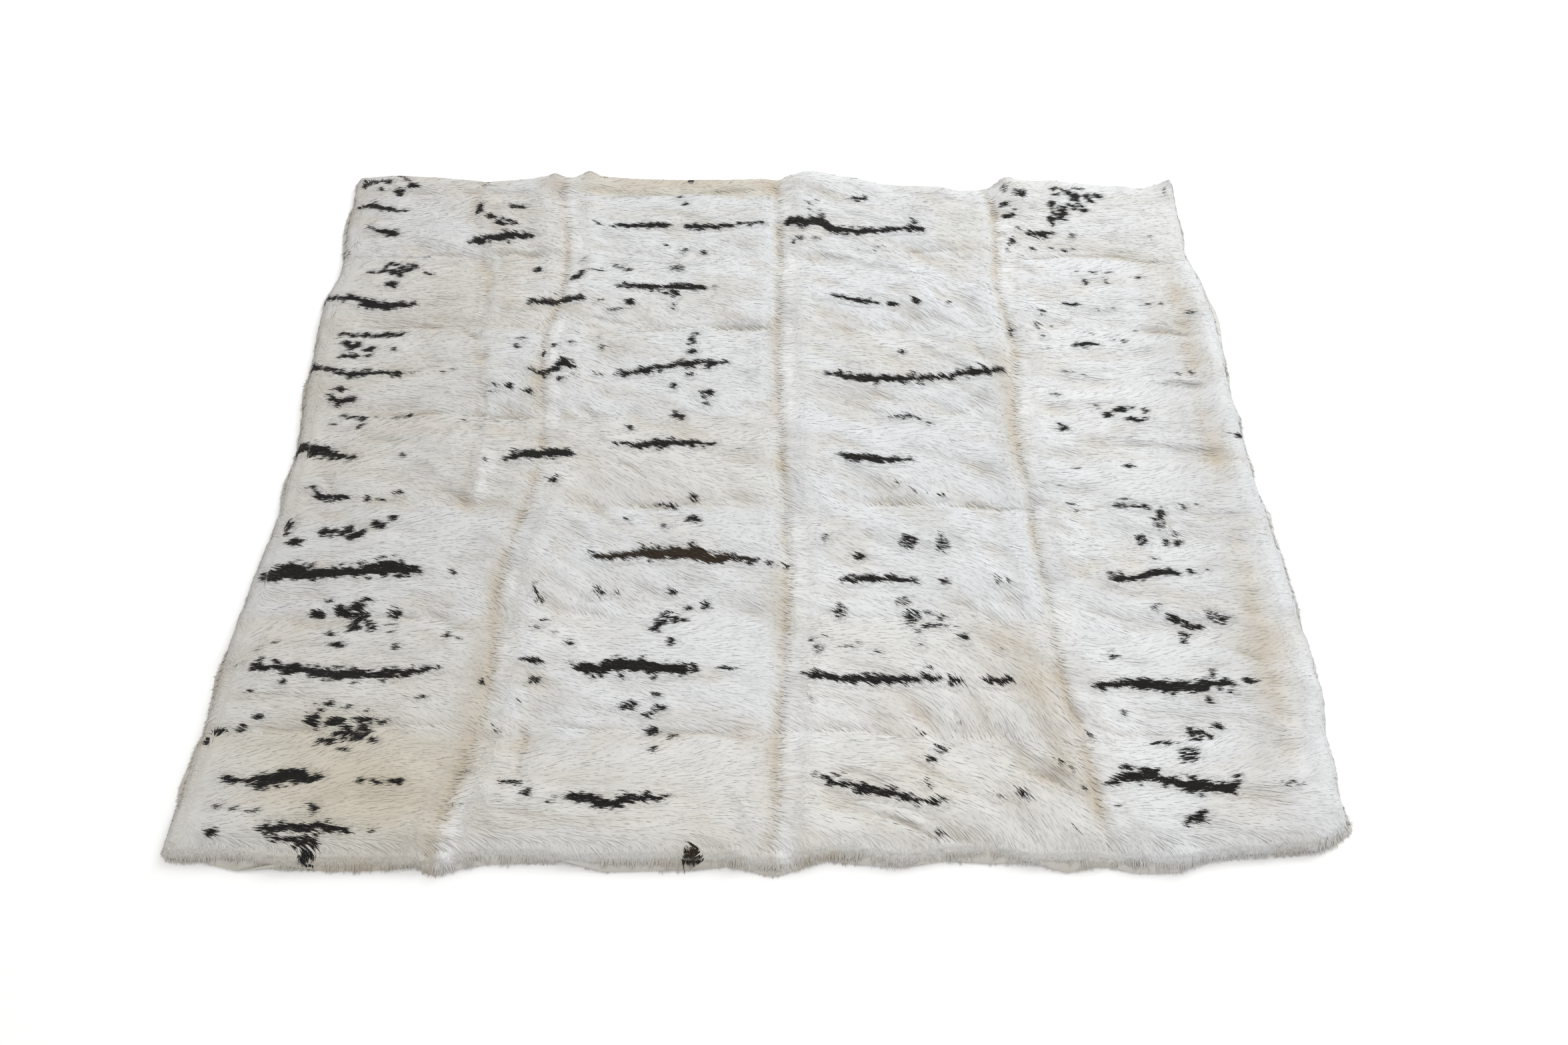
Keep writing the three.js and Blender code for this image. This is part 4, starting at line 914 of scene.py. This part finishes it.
def flow_at(x, y, middle_y, half_height):
    """The way the hair lies at each place of a pelt, as unit steps along x and y."""
    turn = lie_at(x, y) + math.radians(FAN_TURN) * np.clip((y - middle_y) / half_height, -1, 1)
    turn += math.radians(FLOW_NOISE) * sum(swayed(x, y, kind) for kind in FLOW_WAVES)
    slope_x, slope_y = RIM.slope(x, y)
    steep = np.hypot(slope_x, slope_y) + TINY
    outward = 1 - smooth_step(RIM.at(x, y), *RIM_TURNING)
    step_x = np.cos(turn) * (1 - outward) - slope_x / steep * outward * RIM_PULL
    step_y = np.sin(turn) * (1 - outward) - slope_y / steep * outward * RIM_PULL
    size = np.hypot(step_x, step_y) + TINY
    return step_x / size, step_y / size


def surface_normals(x, y):
    """Upward normals of the smooth pile, which its locks share so that they shade as one soft coat."""
    slope_x, slope_y = PILE.slope(x, y)
    steep = np.hypot(slope_x, slope_y) * RELIEF_GAIN + TINY
    gain = RELIEF_GAIN * STEEPEST * np.tanh(steep / STEEPEST) / steep
    normals = np.stack([-slope_x * gain, -slope_y * gain, np.ones_like(x)], axis=1)
    return normals / np.linalg.norm(normals, axis=1, keepdims=True)


def foot_normals(x, y):
    """Normals of the under-fur's lower edge: outward and up where it is the rim's foot, elsewhere down."""
    slope_x, slope_y = RIM.slope(x, y)
    steep = np.hypot(slope_x, slope_y) + TINY
    on_rim = (RIM.at(x, y) < FOOT_LEVEL)[:, None]
    aside = [-FOOT_OUTWARD * slope_x / steep, -FOOT_OUTWARD * slope_y / steep]
    outward = np.stack([*aside, np.full_like(x, FOOT_UPWARD)], axis=1)
    return np.where(on_rim, outward, np.array([0, 0, -1.0]))


def blended(colour, other, share):
    """A colour that goes over into another one by a share."""
    return colour * (1 - share) + np.array(other) * share


def coat_colour(x, y, tone):
    """Colour of the light hair: the pelt's own tone, tinted where the blanket is, some tints being painted
    light and shade, then warmer with painted shade in the hollows and along the seams, and paler by a painted
    highlight right of them.
    """
    colour = np.tile(np.array(tone), (len(x), 1))
    mottled = sum(swayed(x, y, kind) for kind in COAT_MOTTLE)
    for row in TINTS:
        place = in_plan(row[0], row[1])
        far = ((x - place[0]) / (row[2] * MM)) ** 2 + ((y - place[1]) / (row[3] * MM)) ** 2
        share = np.clip(row[5] * np.exp(-TINT_FALL * far) * (1 + TINT_UNEVEN * mottled), 0, 1)
        colour = blended(colour, row[4], share[:, None])
    # Warm tone with painted shade in the hollows and along the upright seams
    warm = np.clip(WARMTH_AND_SHADE.at(x, y) * (WARM_MIDDLE + WARM_UNEVEN * mottled), 0, 1)
    colour = blended(colour, BEIGE, warm[:, None])
    # Painted highlight just right of the upright seams
    colour = blended(colour, PALEST, PAINTED_HIGHLIGHT.at(x, y)[:, None])
    return colour * (1 + COAT_UNEVEN * mottled)[:, None]


def hair_colour(x, y, tone, chance):
    """Colour of hairs: dark where the pigment at their middle outweighs each hair's own chance."""
    wander_x, wander_y = (place + swayed(x, y, kind) for place, kind in zip((x, y), HAIR_WANDER))
    is_dark = (DARK.at(wander_x, wander_y) > chance)[:, None]
    brown = np.clip(BROWN.at(x, y) * BROWN_GAIN * (BROWN_RANGE[0] + BROWN_RANGE[1] * chance), 0, 1)
    dark_hair = blended(np.array(BLACK), BROWN_BLACK, brown[:, None])
    depth = DARK_RANGE[0] + DARK_RANGE[1] * chance[:, None]
    return np.where(is_dark, dark_hair * depth, coat_colour(x, y, tone))


class Locks:
    """Locks of hair gathered for one pelt: each is a closed sliver of four points and four triangles."""

    def __init__(self):
        self.points = []
        self.normals = []
        self.colours = []
        self.places = []

    def add(self, root, step, length, width, heights, colour, upright=None):
        """Adds locks with their roots at root, lying along step. heights are those of root, crest and tip."""
        side = np.stack([-step[:, 1], step[:, 0]], axis=1)
        curl = RANDOM.normal(0, LOCK_CURL, len(root))[:, None]
        half = side * width[:, None] / 2
        crest = root + step * length[:, None] * CREST_SHARE
        tip = root + step * length[:, None] + side * length[:, None] * curl
        plan = [root + half, root - half, crest, tip]
        levels = [heights[0], heights[0], heights[1], heights[2]]
        self.points.append(np.stack([np.c_[p, z] for p, z in zip(plan, levels)], axis=1))
        if upright is None:
            upright = surface_normals(crest[:, 0], crest[:, 1])
        sideways = np.c_[side, np.zeros(len(side))] * SIDE_LEAN
        onward = np.c_[step, np.zeros(len(step))] * TIP_LEAN
        normals = np.stack([upright + sideways, upright - sideways, upright, upright + onward], axis=1)
        self.normals.append(normals / np.linalg.norm(normals, axis=2, keepdims=True))
        bright = RANDOM.uniform(*BRIGHTNESS, len(root))[:, None, None]
        # Painted shade: each lock darker at its root than at its tip
        depth = np.array(PAINTED_ROOT_SHADE)[None, :, None]
        self.colours.append(np.clip(colour[:, None, :] * bright * depth, 0, 1))
        self.places.append(np.stack([root + (p - root) * MAP_LOCK for p in plan], axis=1))

    def arrays(self):
        """Points, their normals, colours and places in the map, and the faces between them."""
        count = sum(len(points) for points in self.points)
        corners = np.array([[0, 1, 2], [1, 3, 2], [3, 0, 2], [0, 3, 1]])
        faces = (np.arange(count)[:, None, None] * 4 + corners[None]).reshape(-1, 3)
        flat = [np.concatenate(part).reshape(-1, part[0].shape[2])
                for part in (self.points, self.normals, self.colours, self.places)]
        return (*flat, faces)


def inside_outline(x, y, outline):
    """True where a place lies inside a closed outline of points in order."""
    inside = np.zeros(len(x), bool)
    for (ax, ay), (bx, by) in zip(outline, np.roll(outline, -1, axis=0)):
        if ay != by:
            crosses = (ay > y) != (by > y)
            inside ^= crosses & (x < (bx - ax) * (y - ay) / (by - ay) + ax)
    return inside


def scattered(outline, spacing):
    """Places about the given spacing apart, unevenly set, inside an outline."""
    low = outline.min(axis=0)
    high = outline.max(axis=0)
    grid = np.stack(np.meshgrid(np.arange(low[0], high[0], spacing), np.arange(low[1], high[1], spacing),
                                indexing="ij"), axis=-1).reshape(-1, 2)
    grid += RANDOM.uniform(-0.5, 0.5, grid.shape) * spacing
    return grid[inside_outline(grid[:, 0], grid[:, 1], outline)]


def between(limits, count):
    """Random lengths between two limits in millimetres."""
    return RANDOM.uniform(limits[0], limits[1], count) * MM


def arched(base, crest, tip):
    """Heights of locks, each crest above a line from root to tip. In a trough the tip dips into the pile."""
    lowest = (crest - LEAST_ARCH - (1 - CREST_SHARE) * base) / CREST_SHARE
    tip = np.maximum(np.minimum(tip, lowest), TIP_FLOOR)
    straight = (1 - CREST_SHARE) * base + CREST_SHARE * tip
    return base, np.maximum(crest, straight + LEAST_ARCH), tip


def lock_colour(root, step, length, tone):
    """Colour of each lock, read part of the way along it."""
    middle = root + step * length[:, None] * HAIR_MIDDLE
    return hair_colour(middle[:, 0], middle[:, 1], tone, RANDOM.uniform(*HAIR_CHANCE, len(root)))


def grow(locks, roots, kind, tone, middle_y, half_height):
    """Grows locks of one kind from their roots, along the pile."""
    x, y = roots[:, 0], roots[:, 1]
    step = np.stack(flow_at(x, y, middle_y, half_height), axis=1)
    count = len(roots)
    ahead = roots + step * np.mean(kind["length"]) * MM
    length = between(kind["length"], count) * (1 - HOLLOW_SHORTER * HOLLOW.at(ahead[:, 0], ahead[:, 1]))
    inside = RIM.at(x, y)
    fall = np.maximum(inside - RIM.at(*(roots + step * length[:, None]).T), LEAST_LENGTH)
    length *= np.clip((inside - RIM_STOP) / fall, RIM_LEAST_SHARE, 1)
    width = between(kind["width"], count)
    crest = roots + step * length[:, None] * CREST_SHARE
    tip = roots + step * length[:, None]
    base = np.maximum(PILE.at(x, y) - kind["sink"] * MM, FUR_BOTTOM)
    top = PILE.at(crest[:, 0], crest[:, 1]) + RANDOM.uniform(*CREST_RANGE, count) * kind["crest"] * MM
    end = PILE.at(tip[:, 0], tip[:, 1]) + RANDOM.uniform(*TIP_RANGE, count) * kind["tip"] * MM
    locks.add(roots, step, length, width, arched(base, top, end), lock_colour(roots, step, length, tone))


def skirt_reach(x, y):
    """How far the skirt's foot stands out from the pelt's edge, uneven along the rim."""
    reach = SKIRT_FOOT + swayed(x, y, SKIRT_WAVE) + swayed(x, y, SKIRT_RIPPLE)
    return np.maximum(reach, SKIRT_LEAST)


def rim_height(x, y, out, foot):
    """Height of the rim's slope at a distance out from the pelt's edge."""
    return np.maximum(PILE.at(x, y), FUR_BOTTOM * np.clip((foot - out) / (RIM_THINNING * MM), 0, 1))


def grow_rim(locks, edges, tone):
    """Short locks that lie down the rim's slope, with a little fuzz past its foot."""
    for start, end, outward in edges:
        length = np.linalg.norm(end - start)
        count = max(1, round(length / (RIM_PITCH * MM))) * RIM_LAYERS
        edge = start + (end - start) * RANDOM.uniform(0, 1, count)[:, None]
        out = between(RIM_DEPTH, count)
        root = edge + outward * out[:, None]
        foot = skirt_reach(edge[:, 0], edge[:, 1])
        turn = np.arctan2(outward[1], outward[0]) + np.radians(RANDOM.normal(0, RIM_TURN, count))
        turn += swayed(root[:, 0], root[:, 1], RIM_WAVES)
        step = np.stack([np.cos(turn), np.sin(turn)], axis=1)
        reach = np.minimum(between(RIM_LENGTH, count), foot + between(RIM_FUZZ, count) - out)
        reach = np.maximum(reach, RIM_SHORTEST * MM)
        base, crest, tip = (rim_height(*(root + step * run[:, None]).T, out + run, foot)
                            for run in (0 * reach, reach * CREST_SHARE, reach))
        # Painted shade down the rim's slope, darker further out
        shade = RIM_SHADE * smooth_step(out, RIM_DEPTH[0] * MM, RIM_DEPTH[1] * MM)
        colour = lock_colour(root, step, reach, tone) * (1 - shade[:, None])
        lit = edge + outward * np.minimum(out + reach * CREST_SHARE, SKIRT_TOP)[:, None]
        heights = arched(np.maximum(base - RIM_SINK * MM, TIP_FLOOR), crest + RIM_CREST * MM,
                         tip - RIM_TIP_DROP * MM)
        locks.add(root, step, reach, between(RIM_WIDTH, count), heights, colour, surface_normals(*lit.T))


def closed_slab(patch, bottom, top):
    """Turns an open patch into a closed slab between two levels. Returns the faces of its top."""
    made = bmesh.ops.extrude_face_region(patch, geom=patch.faces[:])["geom"]
    raised = {item for item in made if isinstance(item, bmesh.types.BMVert)}
    for vert in patch.verts:
        vert.co.z = top if vert in raised else bottom
    bmesh.ops.recalc_face_normals(patch, faces=patch.faces)
    return [item for item in made if isinstance(item, bmesh.types.BMFace)]


def mesh_arrays(shape):
    """Points and triangles of a bmesh."""
    bmesh.ops.triangulate(shape, faces=shape.faces)
    points = np.array([vert.co for vert in shape.verts])
    faces = np.array([[vert.index for vert in face.verts] for face in shape.faces])
    return points, faces


def object_from(name, points, faces):
    """An object with a mesh of the given points and triangles."""
    mesh = bpy.data.meshes.new(name)
    mesh.vertices.add(len(points))
    mesh.vertices.foreach_set("co", points.astype(np.float32).ravel())
    mesh.loops.add(faces.size)
    mesh.loops.foreach_set("vertex_index", faces.astype(np.int32).ravel())
    mesh.polygons.add(len(faces))
    mesh.polygons.foreach_set("loop_start", np.arange(0, faces.size, 3, dtype=np.int32))
    mesh.update(calc_edges=True)
    made = bpy.data.objects.new(name, mesh)
    bpy.context.scene.collection.objects.link(made)
    return made


def bake_map(mesh, places):
    """A UV map that follows the plan, for baking: places are each point's own, in metres."""
    low = places.min(axis=0)
    size = (places.max(axis=0) - low).max() * MAP_SCALE
    per_loop = np.zeros(len(mesh.loops), np.int32)
    mesh.loops.foreach_get("vertex_index", per_loop)
    layer = mesh.uv_layers.new(name="OFBake")
    layer.data.foreach_set("uv", ((places - low) / size + MAP_MARGIN)[per_loop].astype(np.float32).ravel())


def spread_skirt(patch, free_edges):
    """Draws the slab's wall outwards where it is on the rim, so that it slopes down to the floor."""
    if not free_edges:
        return
    tree = KDTree(len(free_edges) * 2)
    for n, (start, end, _) in enumerate(free_edges):
        tree.insert((*start, 0), 2 * n)
        tree.insert((*end, 0), 2 * n + 1)
    tree.balance()
    for vert in patch.verts:
        apart = tree.find((vert.co.x, vert.co.y, 0))[2]
        if apart < ON_RIM:
            x, y = np.array([vert.co.x]), np.array([vert.co.y])
            slope = RIM.slope(x, y)
            outward = Vector((-slope[0][0], -slope[1][0], 0)).normalized()
            vert.co += outward * (SKIRT_TOP if vert.co.z > UNDER_FUR_MIDDLE else skirt_reach(x, y)[0])


def under_fur(patch, free_edges, tone):
    """The dense under-fur of a pelt as a closed slab: its points, normals, colours, places and faces."""
    tops = closed_slab(patch, FUR_BOTTOM, UNDER_FUR_TOP)
    spread_skirt(patch, free_edges)
    edges = list({edge for face in tops for edge in face.edges})
    bmesh.ops.subdivide_edges(patch, edges=edges, cuts=UNDER_FUR_CUTS, use_grid_fill=True)
    points, faces = mesh_arrays(patch)
    raised = points[:, 2] > UNDER_FUR_MIDDLE
    x, y = points[:, 0], points[:, 1]
    points[raised, 2] = np.maximum(PILE.at(x, y) - UNDER_FUR_DROP, UNDER_FUR_TOP)[raised]
    normals = surface_normals(x, y)
    normals[~raised] = foot_normals(x[~raised], y[~raised])
    shaded = UNDER_FUR_SHADE - UNDER_FUR_DARK * np.clip(DARK.at(x, y), 0, 1)
    colours = coat_colour(x, y, tone) * shaded[:, None]
    places = points[:, :2] + MAP_HEIGHT * points[:, 2:]
    return points, normals, colours, places, faces


def pelt_locks(outline, free_edges, tone):
    """The locks of one pelt, finer where its hair is marked, and those on its part of the rim, as arrays."""
    low, high = outline.min(axis=0), outline.max(axis=0)
    middle_y = (low[1] + high[1]) / 2
    half_height = (high[1] - low[1]) / 2
    locks = Locks()
    for kind in (COAT, FINE):
        roots = scattered(outline, kind["spacing"] * MM)
        ahead = roots[:, 0] + np.mean(kind["length"]) * HAIR_MIDDLE * MM
        marked = NEAR_DARK.at(ahead, roots[:, 1]) > MARKED_FROM
        roots = roots[marked if kind is FINE else ~marked]
        if len(roots):
            grow(locks, roots, kind, tone, middle_y, half_height)
    grow_rim(locks, free_edges, tone)
    return locks.arrays()


def fur_piece(name, patch, outline, free_edges, tone):
    """One pelt's fur: its under-fur and the locks that cover it, with their colours and soft normals."""
    *below, faces = under_fur(patch, free_edges, tone)
    *above, lock_faces = pelt_locks(outline, free_edges, tone)
    points, normals, colours, places = (np.r_[under, over] for under, over in zip(below, above))
    piece = object_from(name, points, np.r_[faces, lock_faces + len(below[0])])
    mesh = piece.data
    mesh.polygons.foreach_set("use_smooth", np.ones(len(mesh.polygons), bool))
    layer = mesh.attributes.new("hair_colour", "FLOAT_COLOR", "POINT")
    layer.data.foreach_set("color", np.c_[colours, np.ones(len(colours))].astype(np.float32).ravel())
    bake_map(mesh, places)
    mesh.normals_split_custom_set_from_vertices(normals.tolist())
    return piece


def hide_piece(name, patch):
    """One pelt's leather: a thin closed sheet under its fur."""
    closed_slab(patch, HIDE_BOTTOM, HIDE_TOP)
    points, faces = mesh_arrays(patch)
    return object_from(name, points, faces)


def stitch_points(centre, run, outward):
    """One overcast stitch across a seam: a low arch of thread that slants along the seam."""
    reach = outward * STITCH_LENGTH / 2 + run * STITCH_SLANT / 2
    half = run * STITCH_WIDTH / 2
    crown = HIDE_BOTTOM - STITCH_HEIGHT / 2
    levels = ((-1, HIDE_BOTTOM), (-STITCH_SHOULDER, crown), (STITCH_SHOULDER, crown), (1, HIDE_BOTTOM))
    for share, low in levels:
        for side in (-1, 1):
            x, y = centre + reach * share + half * side
            yield x, y, max(low, 0)
            yield x, y, HIDE_BOTTOM + STITCH_SUNK


def sewing(edges):
    """The overcast thread of every seam, on the leather side, as one piece.

    Each stitch is four rings of four points, with a wall between two rings and both ends closed.
    """
    points = []
    for start, end, outward in edges:
        length = np.linalg.norm(end - start)
        run = (end - start) / length
        count = max(1, round(length / STITCH_PITCH))
        for n in range(count):
            points.extend(stitch_points(start + run * length * (n + 0.5) / count, run, outward))
    ring = np.array([[0, 1, 3], [0, 3, 2]])
    walls = []
    for n in range(3):
        a = 4 * n
        walls += [[a, a + 2, a + 6], [a, a + 6, a + 4], [a + 1, a + 5, a + 7], [a + 1, a + 7, a + 3],
                  [a, a + 4, a + 5], [a, a + 5, a + 1], [a + 2, a + 3, a + 7], [a + 2, a + 7, a + 6]]
    shape = np.r_[ring, np.array(walls), ring[:, ::-1] + STITCH_POINTS - 4]
    count = len(points) // STITCH_POINTS
    faces = (np.arange(count)[:, None, None] * STITCH_POINTS + shape[None]).reshape(-1, 3)
    thread = object_from("seam_thread", np.array(points), faces)
    shell = bmesh.new()
    shell.from_mesh(thread.data)
    bmesh.ops.recalc_face_normals(shell, faces=shell.faces)
    shell.to_mesh(thread.data)
    shell.free()
    return thread


class Shade:
    """A shader's output socket. Arithmetic on it adds Math nodes."""

    def __init__(self, graph, socket):
        self.graph = graph
        self.socket = socket

    def _math(self, operation, first, second):
        return self.graph.node("ShaderNodeMath", {"operation": operation}, {0: first, 1: second})

    def __add__(self, other):
        return self._math("ADD", self, other)

    def __mul__(self, other):
        return self._math("MULTIPLY", self, other)

    def ranged(self, low, high):
        """This value, which runs from 0 to 1, moved to run from low to high."""
        return self * (high - low) + low

    __radd__ = __add__
    __rmul__ = __mul__


class Graph:
    """A material's nodes."""

    def __init__(self, name):
        self.material = bpy.data.materials.new(name)
        self.material.use_nodes = True
        self.tree = self.material.node_tree
        self.shader = self.tree.nodes["Principled BSDF"]

    def node(self, kind, settings=None, values=None, output=0):
        """A node of the given type, with its settings set first, then the values or links of its sockets."""
        made = self.tree.nodes.new(kind)
        for setting, value in (settings or {}).items():
            setattr(made, setting, value)
        for socket, value in (values or {}).items():
            self.put(made.inputs[socket], value)
        return Shade(self, made.outputs[output])

    def put(self, socket, value):
        if isinstance(value, Shade):
            self.tree.links.new(value.socket, socket)
        else:
            socket.default_value = value

    def place(self, stretch=(1, 1, 1)):
        """The place on the object, in metres, stretched along each axis."""
        where = self.node("ShaderNodeTexCoord", output="Object")
        return self.node("ShaderNodeMapping", {}, {"Vector": where, "Scale": stretch})

    def grain(self, per_metre, detail=3, stretch=(1, 1, 1)):
        """Noise from 0 to 1 with the given number of lumps per metre."""
        values = {"Vector": self.place(stretch), "Scale": per_metre, "Detail": detail}
        return self.node("ShaderNodeTexNoise", {}, values)

    def mix(self, share, first, second, way="MIX"):
        settings = {"data_type": "RGBA", "blend_type": way}
        return self.node("ShaderNodeMix", settings, {0: share, 6: first, 7: second}, output=2)

    def bump(self, height, distance, strength):
        values = {"Height": height, "Distance": distance, "Strength": strength}
        return self.node("ShaderNodeBump", {}, values)

    def finish(self, **values):
        """Sets or links the shader's own sockets and gives the material."""
        for name, value in values.items():
            self.put(self.shader.inputs[name.replace("_", " ")], value)
        return self.material


def rgba(colour):
    return (*colour, 1)


def fur_material(slot):
    """Hair: each lock's own colour, faint streaks along the pile, and a soft sheen."""
    graph = Graph(slot)
    hair = graph.node("ShaderNodeAttribute", {"attribute_name": "hair_colour"})
    streaks = graph.grain(per_metre=420, stretch=(0.16, 1, 1))
    clumps = graph.grain(per_metre=55, detail=2)
    tone = streaks * 0.5 + clumps * 0.5
    return graph.finish(
        Base_Color=graph.mix(1.0, hair, tone.ranged(0.94, 1.06), way="MULTIPLY"),
        Roughness=clumps.ranged(0.78, 0.93),
        Normal=graph.bump(streaks, 0.2 * MM, 0.5),
        Sheen_Weight=0.08,
        Sheen_Roughness=0.5,
        Specular_IOR_Level=0.2,
    )


def leather_material():
    """Suede-like flesh side of the pelts: a short nap, with paler and darker patches."""
    graph = Graph("flesh_side_leather")
    nap = graph.grain(per_metre=900, detail=4)
    patches = graph.grain(per_metre=16, detail=4)
    creases = graph.grain(per_metre=70)
    colour = graph.mix(patches, *map(rgba, LEATHER_TONES))
    return graph.finish(
        Base_Color=graph.mix(creases * 0.35, colour, rgba(LEATHER_WORN)),
        Roughness=nap.ranged(0.72, 0.92),
        Normal=graph.bump(nap * 0.4 + creases * 0.6, 0.6 * MM, 0.6),
        Sheen_Weight=0.15,
    )


def thread_material():
    """Off-white cotton thread with its twist."""
    graph = Graph("seam_thread_cotton")
    twist = graph.grain(per_metre=1600, detail=2)
    colour = graph.mix(twist, *map(rgba, THREAD_TONES))
    return graph.finish(Base_Color=colour, Roughness=0.85, Normal=graph.bump(twist, 0.2 * MM, 0.5))


def floor_material():
    """A matt, pale floor that glows a little, so that it shows as white."""
    graph = Graph("pale_floor")
    haze = graph.grain(per_metre=0.7, detail=2)
    return graph.finish(
        Base_Color=graph.mix(haze * 0.3, *map(rgba, FLOOR_TONES)),
        Roughness=0.9,
        Specular_IOR_Level=0.0,
        Emission_Color=rgba((1, 1, 1)),
        Emission_Strength=FLOOR_GLOW,
    )


def make_camera():
    camera = bpy.data.objects.new("camera", bpy.data.cameras.new("camera"))
    camera.data.lens = CAMERA_LENS
    camera.data.sensor_width = CAMERA_SENSOR
    camera.location = CAMERA_PLACE
    camera.rotation_euler = (math.radians(90 - CAMERA_PITCH), 0, 0)
    bpy.context.scene.collection.objects.link(camera)
    bpy.context.scene.camera = camera


def make_light():
    scene = bpy.context.scene
    scene.view_settings.view_transform = "Standard"
    room = bpy.data.worlds.new("pale_room")
    room.use_nodes = True
    background = room.node_tree.nodes["Background"]
    background.inputs["Color"].default_value = rgba(ROOM_COLOUR)
    background.inputs["Strength"].default_value = ROOM_STRENGTH
    scene.world = room
    lamp = bpy.data.objects.new("soft_lamp", bpy.data.lights.new("soft_lamp", "AREA"))
    lamp.data.color = LAMP_COLOUR
    lamp.data.energy = LAMP_POWER
    lamp.data.size = LAMP_SIZE
    lamp.location = LAMP_PLACE
    lamp.rotation_euler = Vector(LAMP_PLACE).to_track_quat("Z", "Y").to_euler()
    scene.collection.objects.link(lamp)


def make_floor():
    shape = bmesh.new()
    bmesh.ops.create_grid(shape, x_segments=1, y_segments=1, size=FLOOR_SIZE / 2)
    mesh = bpy.data.meshes.new("floor")
    shape.to_mesh(mesh)
    shape.free()
    floor = bpy.data.objects.new("floor", mesh)
    bpy.context.scene.collection.objects.link(floor)
    mesh.materials.append(floor_material())


def make_blanket():
    slots = {row["node"]: row["material_slot"] for row in frame["record"]["subparts"]}
    furs = {slot: fur_material(slot) for slot in sorted(set(slots.values()))}
    leather = leather_material()
    for name, patch in PATCHES.items():
        outline, area = OUTLINES[name]
        tone = np.array(COAT_TONES[slots[name]]) * RANDOM.uniform(*BRIGHTNESS)
        hide = hide_piece(name.replace("pelt", "hide"), patch.copy())
        hide.data.materials.append(leather)
        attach(hide, "root")
        size = outline.max(axis=0) - outline.min(axis=0)
        fur = fur_piece(name.replace("pelt", "fur"), patch, outline, FREE_EDGES[name], tone)
        fur.data.materials.append(furs[slots[name]])
        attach(fur, "root")
        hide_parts(name)
        patch.free()
    thread = sewing(SEWN_EDGES)
    thread.data.materials.append(thread_material())
    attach(thread, "root")


make_camera()
make_light()
make_floor()
make_blanket()
